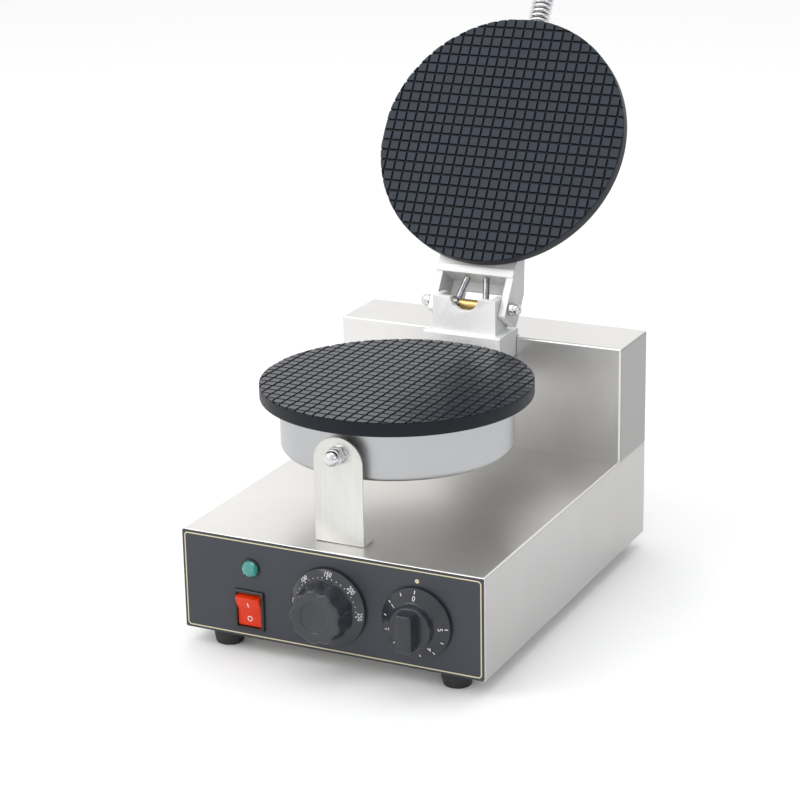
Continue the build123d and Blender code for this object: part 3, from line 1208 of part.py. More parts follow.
with BuildPart() as arm_bolts:
    with BuildSketch(upper_plane.offset(ARM_SEAT)):
        with Locations((-ARM_BOLTS[0], ARM_BOLTS[1]), ARM_BOLTS):
            Circle(ARM_HEAD_R)
    extrude(amount=ARM_HEAD)
    with BuildSketch(upper_plane.offset(ARM_SEAT + ARM_HEAD)):
        with Locations((-ARM_BOLTS[0], ARM_BOLTS[1]), ARM_BOLTS):
            RegularPolygon(radius=2.0, side_count=6, major_radius=False)
    extrude(amount=-2.5, mode=Mode.SUBTRACT)
    with BuildSketch(upper_plane.offset(ARM_SEAT)):
        with Locations((-ARM_BOLTS[0], ARM_BOLTS[1]), ARM_BOLTS):
            Circle(PLATE_BOLT_R)
    extrude(amount=1 - ARM_SEAT - PLATE_BOLT_DEPTH)
arm_bolts.part.label = "arm_bolts"
export_step(arm_bolts.part, "parts/arm_bolts.step")

# ==== handle: rod through the upper can's wall, collar, wire coil that keeps it cool, end cap ===
handle_axis = Plane(
    origin=lid_plane.from_local_coords((0, 0, HANDLE_RISE)),
    x_dir=(1, 0, 0),
    z_dir=-lid_plane.y_dir,
)
CAN_FAR = HINGE_TO_CENTRE + CAN_R
COLLAR_START = CAN_FAR + 6.5
ROD_INSIDE = 9.0                 # the rod's length inside the can
CAP_STRAIGHT = 5.0
with BuildPart() as handle_rod:
    with BuildSketch(handle_axis.offset(CAN_FAR - ROD_INSIDE)):
        Circle(HANDLE_ROD_R)
    extrude(amount=COLLAR_START - CAN_FAR + ROD_INSIDE)
    with BuildSketch(handle_axis.offset(COLLAR_START)):
        Circle(COIL_R - 0.6)
    extrude(amount=COIL_START - COLLAR_START)
    with BuildSketch(handle_axis.offset(COIL_START)):
        Circle(COIL_R - COIL_WIRE - 0.2)
    extrude(amount=COIL_END - COIL_START)
handle_rod.part.label = "handle_rod"
export_step(handle_rod.part, "parts/handle_rod.step")

with BuildPart() as handle_nuts:
    with BuildSketch(handle_axis.offset(CAN_FAR - CAN_SHEET - 0.3)):
        RegularPolygon(radius=NUT_RADIUS, side_count=6, major_radius=False)
        Circle(HANDLE_ROD_R, mode=Mode.SUBTRACT)
    extrude(amount=-5.5)
    with BuildSketch(handle_axis.offset(CAN_FAR)):
        RegularPolygon(radius=NUT_RADIUS, side_count=6, major_radius=False)
        Circle(HANDLE_ROD_R, mode=Mode.SUBTRACT)
    extrude(amount=COLLAR_START - CAN_FAR)
handle_nuts.part.label = "handle_nuts"
export_step(handle_nuts.part, "parts/handle_nuts.step")

coil_section = Plane(origin=handle_axis.origin, x_dir=handle_axis.z_dir, z_dir=(-1, 0, 0))
with BuildPart() as handle_coil:
    with BuildSketch(coil_section):
        with BuildLine():
            valley_r = COIL_R - COIL_WIRE / 2
            for turn in range(COIL_TURNS):
                start = COIL_START + turn * COIL_PITCH
                ThreePointArc(
                    (start, valley_r), (start + COIL_PITCH / 2, COIL_R),
                    (start + COIL_PITCH, valley_r),
                )
            Polyline(
                (COIL_END, valley_r), (COIL_END, COIL_R - COIL_WIRE),
                (COIL_START, COIL_R - COIL_WIRE), (COIL_START, valley_r),
            )
        make_face()
    revolve(axis=Axis(handle_axis.origin, handle_axis.z_dir))
handle_coil.part.label = "handle_coil"
export_step(handle_coil.part, "parts/handle_coil.step")

with BuildPart() as handle_cap:
    with BuildSketch(handle_axis.offset(COIL_END)):
        Circle(COIL_R)
    extrude(amount=CAP_STRAIGHT)
    with BuildSketch(handle_axis.offset(COIL_END + CAP_STRAIGHT)):
        Circle(COIL_R)
    extrude(amount=4.0, taper=20)
    fillet(handle_cap.edges().sort_by(Axis(handle_axis.origin, handle_axis.z_dir))[-1], radius=2.5)
handle_cap.part.label = "handle_cap"
export_step(handle_cap.part, "parts/handle_cap.step")
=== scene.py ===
import json
from math import cos, pi, radians, sin

import bmesh
import bpy
import numpy as np
from mathutils import Matrix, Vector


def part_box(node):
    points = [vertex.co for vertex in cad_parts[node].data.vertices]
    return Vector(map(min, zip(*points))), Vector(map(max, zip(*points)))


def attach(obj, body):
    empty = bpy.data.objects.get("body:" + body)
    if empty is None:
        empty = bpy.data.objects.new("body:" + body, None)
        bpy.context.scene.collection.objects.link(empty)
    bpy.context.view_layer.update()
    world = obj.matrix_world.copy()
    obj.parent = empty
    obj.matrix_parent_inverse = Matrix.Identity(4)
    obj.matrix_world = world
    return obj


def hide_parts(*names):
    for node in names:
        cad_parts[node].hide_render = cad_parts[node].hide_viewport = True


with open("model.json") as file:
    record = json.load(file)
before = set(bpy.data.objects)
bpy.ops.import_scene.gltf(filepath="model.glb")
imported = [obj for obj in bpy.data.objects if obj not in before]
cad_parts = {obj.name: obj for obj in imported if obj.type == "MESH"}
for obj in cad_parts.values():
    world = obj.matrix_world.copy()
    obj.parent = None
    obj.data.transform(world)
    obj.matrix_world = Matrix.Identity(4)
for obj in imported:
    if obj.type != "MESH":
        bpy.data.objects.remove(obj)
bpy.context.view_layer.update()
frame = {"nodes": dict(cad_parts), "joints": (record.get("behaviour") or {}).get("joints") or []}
nodes = frame["nodes"]
MM = 0.001

# ==== camera =======================================================================================
# A long lens a little above counter height, off the machine's front right corner.
camera_azimuth = radians(26.42)
camera_height_angle = radians(18.21)
camera_roll = radians(-1.046)
camera_place = (0.75639, -1.61858, 0.73290)
back = np.array([
    sin(camera_azimuth) * cos(camera_height_angle),
    -cos(camera_azimuth) * cos(camera_height_angle),
    sin(camera_height_angle),
])
level_right = np.cross(-back, (0, 0, 1))
level_right /= np.linalg.norm(level_right)
level_up = np.cross(level_right, -back)
camera_data = bpy.data.cameras.new("camera")
camera_data.sensor_width = 36.0
camera_data.lens = 105.136
camera = bpy.data.objects.new("camera", camera_data)
bpy.context.scene.collection.objects.link(camera)
stand = np.eye(4)
stand[:3, 0] = cos(camera_roll) * level_right + sin(camera_roll) * level_up
stand[:3, 1] = cos(camera_roll) * level_up - sin(camera_roll) * level_right
stand[:3, 2] = back
stand[:3, 3] = camera_place
camera.matrix_world = Matrix(stand.tolist())
bpy.context.scene.camera = camera
bpy.context.scene.view_settings.view_transform = "Standard"


# ==== studio =======================================================================================
# A pale floor, a white surround that is dimmer on the right, and three large soft lights.
def soft_light(name, place, target, width, power, colour=(1, 1, 1)):
    """Square area light at place, turned so that its -Z looks at target."""
    data = bpy.data.lights.new(name, "AREA")
    data.size = width
    data.energy = power
    data.color = colour
    lamp = bpy.data.objects.new(name, data)
    bpy.context.scene.collection.objects.link(lamp)
    ahead = np.subtract(target, place)
    ahead = ahead / np.linalg.norm(ahead)
    side = np.cross(ahead, (0, 0, 1))
    side /= np.linalg.norm(side)
    turn = np.eye(4)
    turn[:3, 0], turn[:3, 1], turn[:3, 2], turn[:3, 3] = side, np.cross(side, ahead), -ahead, place
    lamp.matrix_world = Matrix(turn.tolist())


soft_light("key_light", (-1.4, -1.5, 2.2), (0, 0, 0.2), 1.6, 17)
soft_light("top_light", (0.1, 0.3, 2.4), (0, -0.05, 0.1), 1.5, 10)
soft_light("side_light", (2.3, -0.9, 1.3), (0, 0, 0.15), 1.0, 6, (0.93, 0.96, 1.0))

world = bpy.data.worlds.new("surround")
bpy.context.scene.world = world
world.use_nodes = True
world_nodes, world_links = world.node_tree.nodes, world.node_tree.links
direction = world_nodes.new("ShaderNodeTexCoord")
split = world_nodes.new("ShaderNodeSeparateXYZ")
across = world_nodes.new("ShaderNodeValToRGB")
across.color_ramp.elements[0].position = 0.0
across.color_ramp.elements[0].color = (0.98, 0.98, 0.98, 1)
across.color_ramp.elements[1].position = 1.0
across.color_ramp.elements[1].color = (0.40, 0.42, 0.45, 1)
middle = across.color_ramp.elements.new(0.62)
middle.color = (0.93, 0.93, 0.92, 1)
left_to_right = world_nodes.new("ShaderNodeMath")    # direction X, from -1..1 to 0..1
left_to_right.operation = "MULTIPLY_ADD"
left_to_right.inputs[1].default_value = 0.5
left_to_right.inputs[2].default_value = 0.5
world_links.new(direction.outputs["Generated"], split.inputs[0])
world_links.new(split.outputs["X"], left_to_right.inputs[0])
world_links.new(left_to_right.outputs[0], across.inputs[0])
world_links.new(across.outputs[0], world_nodes["Background"].inputs["Color"])
world_nodes["Background"].inputs["Strength"].default_value = 1.12

floor_half = 6.0
floor_mesh = bpy.data.meshes.new("floor")
floor_mesh.from_pydata(
    [(-floor_half, -floor_half, 0), (floor_half, -floor_half, 0), (floor_half, floor_half, 0),
     (-floor_half, floor_half, 0)], [], [(0, 1, 2, 3)])
floor = bpy.data.objects.new("floor", floor_mesh)
bpy.context.scene.collection.objects.link(floor)
floor_finish = bpy.data.materials.new("floor_paper")
floor_finish.use_nodes = True
paper = floor_finish.node_tree.nodes["Principled BSDF"]
paper.inputs["Base Color"].default_value = (0.93, 0.93, 0.93, 1)
paper.inputs["Roughness"].default_value = 0.8
floor_mesh.materials.append(floor_finish)


# ==== feet =========================================================================================
# Four tapered rubber feet, each held by a screw in its recess.  Moulded black rubber with a fine
# matt skin, a little dusty on the faces.
def detail_group():
    """Node group used by every finish.  Grain is noise stretched along the piece's own axes, so a
    long stretch in one direction gives brush lines and an even one gives a cast or moulded skin.
    Faces that look along X use Side Stretch instead, and Sideways is 1 on them.  Patches is a
    slow, soft noise for handling marks and uneven colour."""
    group = bpy.data.node_groups.new("surface_detail", "ShaderNodeTree")
    face = group.interface
    sockets = (("Stretch", "NodeSocketVector", (1, 1, 1)),
               ("Side Stretch", "NodeSocketVector", (1, 1, 1)),
               ("Grain Scale", "NodeSocketFloat", 900.0), ("Patch Scale", "NodeSocketFloat", 14.0))
    for name, kind, value in sockets:
        face.new_socket(name, in_out="INPUT", socket_type=kind).default_value = value
    for name in ("Grain", "Patches", "Sideways"):
        face.new_socket(name, in_out="OUTPUT", socket_type="NodeSocketFloat")
    inner, wires = group.nodes, group.links
    entry, leave = inner.new("NodeGroupInput"), inner.new("NodeGroupOutput")
    place = inner.new("ShaderNodeTexCoord")
    stretch = inner.new("ShaderNodeVectorMath")
    stretch.operation = "MULTIPLY"
    grain, patches = inner.new("ShaderNodeTexNoise"), inner.new("ShaderNodeTexNoise")
    grain.inputs["Detail"].default_value = 4.0
    grain.inputs["Roughness"].default_value = 0.6
    patches.inputs["Detail"].default_value = 3.0
    patches.inputs["Roughness"].default_value = 0.55
    wires.new(place.outputs["Object"], stretch.inputs[0])
    facing_out, parts = inner.new("ShaderNodeNewGeometry"), inner.new("ShaderNodeSeparateXYZ")
    sideways, steep = inner.new("ShaderNodeMath"), inner.new("ShaderNodeMath")
    sideways.operation, steep.operation = "ABSOLUTE", "GREATER_THAN"
    least_side_slope = 0.75      # X share of the normal above which a face looks along X
    steep.inputs[1].default_value = least_side_slope
    choose = inner.new("ShaderNodeMix")
    choose.data_type = "VECTOR"
    wires.new(facing_out.outputs["True Normal"], parts.inputs[0])
    wires.new(parts.outputs["X"], sideways.inputs[0])
    wires.new(sideways.outputs[0], steep.inputs[0])
    wires.new(steep.outputs[0], choose.inputs[0])
    wires.new(entry.outputs["Stretch"], choose.inputs[4])
    wires.new(entry.outputs["Side Stretch"], choose.inputs[5])
    wires.new(choose.outputs[1], stretch.inputs[1])
    wires.new(stretch.outputs[0], grain.inputs["Vector"])
    wires.new(entry.outputs["Grain Scale"], grain.inputs["Scale"])
    wires.new(place.outputs["Object"], patches.inputs["Vector"])
    wires.new(entry.outputs["Patch Scale"], patches.inputs["Scale"])
    wires.new(grain.outputs["Fac"], leave.inputs["Grain"])
    wires.new(patches.outputs["Fac"], leave.inputs["Patches"])
    wires.new(steep.outputs[0], leave.inputs["Sideways"])
    return group


surface_detail = detail_group()


def finish(name, dark, light, rough, metallic=0.0, bump=0.00002, grain=900.0, patch=14.0,
           stretch=(1, 1, 1), side_stretch=None, side_shade=1.0, patch_share=0.6, **constants):
    """Material whose colour runs from dark to light, and whose roughness runs between the two
    values of rough, with a mix of grain and patches.  bump is the grain's height in metres.
    side_shade multiplies the colour of faces that look along X: painted shade for the sides, where the
    brush lines run away from the light."""
    material = bpy.data.materials.new(name)
    material.use_nodes = True
    inner, wires = material.node_tree.nodes, material.node_tree.links
    shader = inner["Principled BSDF"]
    detail = inner.new("ShaderNodeGroup")
    detail.node_tree = surface_detail
    detail.inputs["Stretch"].default_value = stretch
    detail.inputs["Side Stretch"].default_value = side_stretch or stretch
    detail.inputs["Grain Scale"].default_value = grain
    detail.inputs["Patch Scale"].default_value = patch
    blend = inner.new("ShaderNodeMix")
    blend.inputs[0].default_value = patch_share
    wires.new(detail.outputs["Grain"], blend.inputs[2])
    wires.new(detail.outputs["Patches"], blend.inputs[3])
    spread = inner.new("ShaderNodeMapRange")
    spread.inputs["From Min"].default_value = 0.3
    spread.inputs["From Max"].default_value = 0.7
    wires.new(blend.outputs[0], spread.inputs["Value"])
    colour = inner.new("ShaderNodeMix")
    colour.data_type = "RGBA"
    colour.inputs[6].default_value = (*dark, 1)
    colour.inputs[7].default_value = (*light, 1)
    wires.new(spread.outputs[0], colour.inputs[0])
    # Painted shade: the colour is multiplied by side_shade on faces that look along X.
    shade = inner.new("ShaderNodeMix")
    shade.data_type = "RGBA"
    shade.blend_type = "MULTIPLY"
    shade.inputs[7].default_value = (side_shade, side_shade, side_shade * 1.01, 1)
    wires.new(detail.outputs["Sideways"], shade.inputs[0])
    wires.new(colour.outputs[2], shade.inputs[6])
    wires.new(shade.outputs[2], shader.inputs["Base Color"])
    polish = inner.new("ShaderNodeMapRange")
    polish.inputs["To Min"].default_value = rough[0]
    polish.inputs["To Max"].default_value = rough[1]
    wires.new(spread.outputs[0], polish.inputs["Value"])
    wires.new(polish.outputs[0], shader.inputs["Roughness"])
    relief = inner.new("ShaderNodeBump")
    relief.inputs["Distance"].default_value = bump
    relief.inputs["Strength"].default_value = 1.0
    wires.new(detail.outputs["Grain"], relief.inputs["Height"])
    wires.new(relief.outputs[0], shader.inputs["Normal"])
    shader.inputs["Metallic"].default_value = metallic
    for socket, value in constants.items():
        shader.inputs[socket.replace("_", " ")].default_value = value
    return material


def dress(node_names, material):
    """Puts one material on carried-over CAD nodes, in place of the ones they came with."""
    for node_name in node_names:
        mesh = nodes[node_name].data
        mesh.materials.clear()
        mesh.materials.append(material)


def softened(node, body, material, width, segments=2, angle=32):
    """Copy of a CAD node with its loose triangles merged and its edges rounded by a bevel, for
    castings and mouldings whose real edges are soft.  The copy stands for the node."""
    source = nodes[node].data
    copy = bmesh.new()
    copy.from_mesh(source)
    bmesh.ops.remove_doubles(copy, verts=copy.verts, dist=0.004 * MM)
    bmesh.ops.dissolve_limit(copy, angle_limit=radians(0.6), verts=copy.verts, edges=copy.edges)
    mesh = bpy.data.meshes.new(node + "_finished")
    copy.to_mesh(mesh)
    copy.free()
    mesh.materials.append(material)
    piece = bpy.data.objects.new(node + "_finished", mesh)
    bpy.context.scene.collection.objects.link(piece)
    rounding = piece.modifiers.new("edges", "BEVEL")
    rounding.width = width
    rounding.segments = segments
    rounding.limit_method = "ANGLE"
    rounding.angle_limit = radians(angle)
    rounding.harden_normals = True
    mesh.shade_smooth()
    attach(piece, body)
    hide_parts(node)
    return piece


rubber = finish("moulded_rubber", (0.010, 0.010, 0.011), (0.026, 0.026, 0.028), (0.5, 0.75),
                bump=0.00004, grain=1400)
dress(["lead_grommet"], rubber)
feet = softened("rubber_feet", "base", rubber, 0.5 * MM)

# ==== sheet steel ==================================================================================
# Base housing, tower cover, rear panel and bottom plate, folded from stainless sheet whose brush
# lines run across the machine.
brush_lines = dict(metallic=1.0, bump=0.000016, grain=2600, stretch=(0.012, 1, 1),
                   side_stretch=(1, 0.012, 1), patch_share=0.75)
# Both sheet finishes carry painted shade on faces that look along X. The tower cover's copy of the same
# steel is a little darker and has much stronger painted shade on its sides.
brushed = finish("brushed_stainless", (0.72, 0.705, 0.685), (0.86, 0.85, 0.835), (0.26, 0.38),
                 patch=7, side_shade=0.66, **brush_lines)
cover_steel_shaded = finish("brushed_cover_shaded", (0.70, 0.69, 0.675), (0.82, 0.81, 0.80), (0.28, 0.40),
                     patch=9, side_shade=0.44, **brush_lines)
dress(["base_housing", "rear_panel", "bottom_plate"], brushed)
dress(["tower_cover"], cover_steel_shaded)


# ==== screws =======================================================================================
# Pan-head cross-recess screws, zinc plated: behind the tower and base, under the bottom plate, on
# the foot of the strap and on the two heater cans.
def faces_of_grid(rows, columns, wrap=True):
    """Quads of a grid of points with rows x columns, whose columns close on themselves."""
    row, column = np.meshgrid(np.arange(rows - 1), np.arange(columns if wrap else columns - 1),
                              indexing="ij")
    here, ahead = row * columns + column, row * columns + (column + 1) % columns
    return np.stack([here, ahead, ahead + columns, here + columns], -1).reshape(-1, 4)


def carry(points, origin, x_dir, y_dir, z_dir):
    """Points of a local frame carried into the machine's own frame."""
    return np.asarray(points) @ np.array([x_dir, y_dir, z_dir], float) + np.asarray(origin)


def join(*shapes):
    """Several (points, faces) shapes as one."""
    points = np.concatenate([p for p, f in shapes])
    starts = np.cumsum([0] + [len(p) for p, f in shapes[:-1]])
    faces = [tuple(int(v) + start for v in face) for (p, f), start in zip(shapes, starts) for face in f]
    return points, faces


def make_piece(name, shape, material, body, stands_for=(), sharp=35, merge=0.002 * MM):
    """Object from a closed (points, faces) shape.  Doubled points at poles and seams are merged,
    faces are turned outwards, and edges sharper than sharp degrees stay crisp."""
    points, faces = shape
    mesh = bpy.data.meshes.new(name)
    mesh.from_pydata(np.asarray(points).tolist(), [], [tuple(map(int, f)) for f in faces])
    work = bmesh.new()
    work.from_mesh(mesh)
    bmesh.ops.remove_doubles(work, verts=work.verts, dist=merge)
    bmesh.ops.recalc_face_normals(work, faces=work.faces)
    work.to_mesh(mesh)
    work.free()
    mesh.shade_smooth()
    mesh.set_sharp_from_angle(angle=radians(sharp))
    mesh.materials.append(material)
    piece = bpy.data.objects.new(name, mesh)
    bpy.context.scene.collection.objects.link(piece)
    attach(piece, body)
    if stands_for:
        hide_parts(*stands_for)
    return piece


def solids_of(node, x_dir, y_dir, out):
    """For each separate solid of a CAD node: its middle across the direction out, and its lowest
    and highest place along out."""
    work = bmesh.new()
    work.from_mesh(nodes[node].data)
    bmesh.ops.remove_doubles(work, verts=work.verts, dist=0.004 * MM)
    basis = np.array([x_dir, y_dir, out], float)
    left, found = set(work.verts), []
    while left:
        island, edge = [], [left.pop()]
        while edge:
            vertex = edge.pop()
            island.append(vertex.co[:])
            reached = {e.other_vert(vertex) for e in vertex.link_edges} & left
            left -= reached
            edge += reached
        local = np.array(island) @ basis.T
        low, high = local.min(0), local.max(0)
        found.append(((low + high) / 2, low[2], high[2]))
    work.free()
    return found, basis


def pan_head(radius, height, rings=15, columns=64):
    """Screw head on its own seat: a flat dome whose height falls off as a superellipse of the
    distance from the middle, less a cross recess with two tapered slots, over a short shank."""
    share = np.linspace(0, 1, rings)[:, None] ** 0.8
    angle = np.linspace(0, 2 * pi, columns, endpoint=False)[None, :]
    x, y = radius * share * np.cos(angle), radius * share * np.sin(angle)
    dome = height * (1 - 0.95 * share ** 4.0) * np.ones_like(angle)
    slot_half, slot_reach = 0.17 * radius, 0.62 * radius

    def slot_depth(a, b):
        wall = np.clip((slot_half - np.abs(a)) / (0.10 * radius), 0, 1)
        end = np.clip((slot_reach - np.abs(b)) / (0.25 * radius), 0, 1)
        return wall * end

    recess = 0.55 * height * np.maximum(slot_depth(x, y), slot_depth(y, x))
    top = np.stack([x, y, dome - recess], -1)
    rim = np.stack([radius * np.cos(angle), radius * np.sin(angle), 0 * angle], -1)
    neck = rim * (0.5, 0.5, 1)
    foot = neck - (0, 0, 2 * MM)
    points = np.concatenate([top, rim, neck, foot, foot * (0, 0, 1)])
    return points.reshape(-1, 3), faces_of_grid(rings + 4, columns)


def make_screws(node, body, x_dir, y_dir, out, radius, height):
    """A pan head at the outer end of every solid of a CAD node, each turned its own way."""
    found, basis = solids_of(node, x_dir, y_dir, out)
    first_turn, turn_step = 0.4, 1.1
    heads = []
    for number, (middle, low, high) in enumerate(found):
        turn = first_turn + turn_step * number
        origin = np.array([middle[0], middle[1], high - height]) @ basis
        x_turned = cos(turn) * basis[0] + sin(turn) * basis[1]
        points, faces = pan_head(radius, height)
        heads.append((carry(points, origin, x_turned, np.cross(basis[2], x_turned), basis[2]), faces))
    return make_piece(node + "_heads", join(*heads), zinc, body, [node], sharp=28)


zinc = finish("zinc_plate", (0.50, 0.50, 0.48), (0.72, 0.72, 0.69), (0.22, 0.42), metallic=1.0,
              bump=0.000006, grain=700, patch=60)
X, Y, Z = np.eye(3)
sheet_screw_head = (3.0 * MM, 1.8 * MM)      # radius and height
make_screws("rear_screws", "base", -X, Z, Y, *sheet_screw_head)
make_screws("bottom_screws", "base", X, -Y, -Z, *sheet_screw_head)
dress(["foot_screws", "foot_nuts", "support_screws", "bracket_bolts", "arm_bolts", "earth_stud",
       "tower_support", "timer_body", "lamp_nut"], zinc)

# ==== cable gland ==================================================================================
# Black nylon gland low on the rear panel, with its lock nut inside.
nylon = finish("black_nylon", (0.012, 0.012, 0.013), (0.030, 0.030, 0.032), (0.34, 0.52),
               bump=0.00002, grain=1200)
gland = softened("cable_gland", "base", nylon, 0.35 * MM)
dress(["gland_nut", "thermostat"], nylon)

# ==== control panel ================================================================================
# Thin steel plate over the whole front, painted slate grey.  A fine gold line runs round it just
# inside its edge, and a gold dot marks the timer's index.
slate = finish("slate_paint", (0.026, 0.030, 0.040), (0.037, 0.042, 0.054), (0.32, 0.42),
               bump=0.000008, grain=1600, patch=10)
gold = finish("gold_print", (0.60, 0.53, 0.34), (0.74, 0.67, 0.46), (0.35, 0.5), bump=0.000004,
              grain=1500, patch=40)
dress(["control_panel"], slate)
panel_low, panel_high = (np.array(corner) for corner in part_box("control_panel"))
panel_middle = (panel_low + panel_high) / 2
panel_front = np.array([panel_middle[0], panel_low[1], panel_middle[2]])


def rounded_rectangle(half_width, half_height, corner, per_corner=7):
    """Outline, anticlockwise from the right: a quarter circle of radius corner round each corner."""
    angle = np.linspace(0, pi / 2, per_corner)
    quarter = corner * np.stack([np.cos(angle), np.sin(angle)], -1)
    outline = []
    for sign_x, sign_y, turn in ((1, 1, 0), (-1, 1, 1), (-1, -1, 2), (1, -1, 3)):
        c, s = (1, 0, -1, 0)[turn], (0, 1, 0, -1)[turn]
        swung = quarter @ np.array([[c, s], [-s, c]])
        outline.append(swung + (sign_x * (half_width - corner), sign_y * (half_height - corner)))
    return np.concatenate(outline)


def flat_band(half_width, half_height, corner, width, thick):
    """Rounded-rectangle line: a width x thick section carried round the outline."""
    rings = []
    for offset, height in ((0, 0), (0, thick), (-width, thick), (-width, 0), (0, 0)):
        outline = rounded_rectangle(half_width + offset, half_height + offset, corner + offset)
        rings.append(np.column_stack([outline, np.full(len(outline), height)]))
    return np.concatenate(rings), faces_of_grid(len(rings), len(rings[0]))


def lathe(profile, columns=96):
    """Profile of (radius, height) pairs turned round the local Z axis."""
    profile = np.asarray(profile, float)
    angle = np.linspace(0, 2 * pi, columns, endpoint=False)
    points = np.stack([
        profile[:, :1] * np.cos(angle), profile[:, :1] * np.sin(angle),
        profile[:, 1:] + 0 * angle], -1)
    return points.reshape(-1, 3), faces_of_grid(len(profile), columns)


def bend(middle, radius, start, end, steps=6):
    """Points of an arc of a profile, from angle start to end in degrees."""
    angle = np.radians(np.linspace(start, end, steps))
    return list(zip(middle[0] + radius * np.cos(angle), middle[1] + radius * np.sin(angle)))


facing = (X, Z, -Y)              # local frame of what sits on the panel: right, up, outwards
border_inset = 1.7 * MM
half_span = (panel_high - panel_low) / 2 - border_inset
border_corner, border_width, print_thick = 3.0 * MM, 0.9 * MM, 0.06 * MM
band_points, band_faces = flat_band(
    half_span[0], half_span[2], border_corner, border_width, print_thick)
make_piece("panel_border", (carry(band_points, panel_front, *facing), band_faces), gold, "base")
temp_low, temp_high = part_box("temperature_shaft")
timer_low, timer_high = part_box("timer_shaft")
temp_middle = np.array([(temp_low.x + temp_high.x) / 2, panel_low[1], (temp_low.z + temp_high.z) / 2])
timer_middle = np.array([
    (timer_low.x + timer_high.x) / 2, panel_low[1], (timer_low.z + timer_high.z) / 2])
dot_points, dot_faces = lathe([(0, 0), (1.7 * MM, 0), (1.7 * MM, 0.08 * MM), (0, 0.1 * MM)], 40)
dot_middle = timer_middle + 32.0 * MM * Z
make_piece("timer_index_dot", (carry(dot_points, dot_middle, *facing), dot_faces), gold, "base")

# ==== indicator lamp ===============================================================================
# Black barrel with a thin flange, and a green jewel lens moulded with flat facets.
lamp_low, lamp_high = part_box("lamp_lens")
lamp_middle = np.array([(lamp_low.x + lamp_high.x) / 2, panel_low[1], (lamp_low.z + lamp_high.z) / 2])
dress(["lamp_body"], nylon)
lens_green = finish("green_lens", (0.008, 0.13, 0.12), (0.035, 0.31, 0.28), (0.08, 0.16),
                    bump=0.000004, grain=500, patch=160, patch_share=0.8, Coat_Weight=1.0,
                    Emission_Color=(0.05, 0.42, 0.33, 1), Emission_Strength=0.10)


def jewel(levels, sides=9):
    """Faceted lens: rings of corners, each ring turned half a side from the last, joined by flat
    triangles and closed by its smallest ring."""
    angle = np.linspace(0, 2 * pi, sides, endpoint=False)
    rings = []
    for number, (radius, height) in enumerate(levels):
        turned = angle + (number % 2) * pi / sides
        rings.append(np.column_stack([radius * np.cos(turned), radius * np.sin(turned),
                                      np.full(sides, height)]))
    faces = []
    for ring in range(len(levels) - 1):
        here, above = ring * sides, (ring + 1) * sides
        for side in range(sides):
            after = (side + 1) % sides
            if ring % 2:
                faces += [(here + side, here + after, above + after),
                          (here + side, above + after, above + side)]
            else:
                faces += [(here + side, here + after, above + side),
                          (here + after, above + after, above + side)]
    faces += [tuple(range(sides))[::-1], tuple(range(len(levels) * sides - sides, len(levels) * sides))]
    return np.concatenate(rings), faces


lens_points, lens_faces = jewel(np.array([
    (5.6, 0.6), (6.6, 1.2), (6.5, 2.4), (5.2, 4.3), (3.4, 5.3), (1.7, 5.6)]) * MM)
make_piece("lamp_jewel", (carry(lens_points, lamp_middle, *facing), lens_faces), lens_green, "base",
           ["lamp_lens"], sharp=4)

# ==== power switch =================================================================================
# Snap-in switch: glossy black frame, and a lit red rocker whose upper half stands out.  The off and
# on marks are printed white.
gloss_black = finish("gloss_black", (0.010, 0.010, 0.011), (0.020, 0.020, 0.021), (0.16, 0.26),
                     bump=0.000006, grain=900, patch=30)
switch_frame = softened("switch_body", "base", gloss_black, 0.3 * MM)
lit_red = finish("lit_red", (0.50, 0.016, 0.002), (0.68, 0.040, 0.006), (0.14, 0.24),
                 bump=0.000006, grain=500, patch=90, patch_share=0.8, Specular_IOR_Level=0.3,
                 Emission_Color=(1.0, 0.07, 0.01, 1), Emission_Strength=0.12)
rocker = softened("rocker", "power_rocker", lit_red, 0.45 * MM, 3)
white_print = finish("white_print", (0.72, 0.72, 0.70), (0.86, 0.86, 0.85), (0.4, 0.55),
                     bump=0.000002, grain=1500, patch=60)
rocker_joint = next(j for j in frame["joints"] if j["name"] == "rocker_pivot")
tilt = radians(rocker_joint["range_deg"][1] / 2)
depth_dir = np.array([0, cos(tilt), sin(tilt)])      # into the switch, at the rocker's rest tilt
along_dir = np.array([0, -sin(tilt), cos(tilt)])     # up the rocker
crease, lip, half_rocker = 3.6 * MM, 6.0 * MM, 12.2 * MM


def rocker_face(up):
    """Frame of one half of the rocker's V: middle of that half, right, up and outward."""
    foot = rocker_joint["pos_m"] - crease * depth_dir
    edge = rocker_joint["pos_m"] - lip * depth_dir + up * half_rocker * along_dir
    rise = up * (edge - foot) / np.linalg.norm(edge - foot)
    return (foot + edge) / 2, X, rise, np.cross(X, rise)


mark_thick = 0.1 * MM
bar_ring = rounded_rectangle(0.45 * MM, 2.2 * MM, 0.2 * MM, 3)
bar_rows = [np.column_stack([bar_ring * size, np.full(len(bar_ring), height)])
            for size, height in ((0, 0), (1, 0), (1, mark_thick), (0, mark_thick))]
bar_shape = np.concatenate(bar_rows), faces_of_grid(4, len(bar_ring))
ring_shape = lathe(np.array([(1.5, 0), (2.1, 0), (2.1, 0.1), (1.5, 0.1), (1.5, 0)]) * MM, 36)
on_mark = (carry(bar_shape[0], *rocker_face(1)), bar_shape[1])
off_mark = (carry(ring_shape[0], *rocker_face(-1)), ring_shape[1])
make_piece("rocker_marks", join(on_mark, off_mark), white_print, "power_rocker")


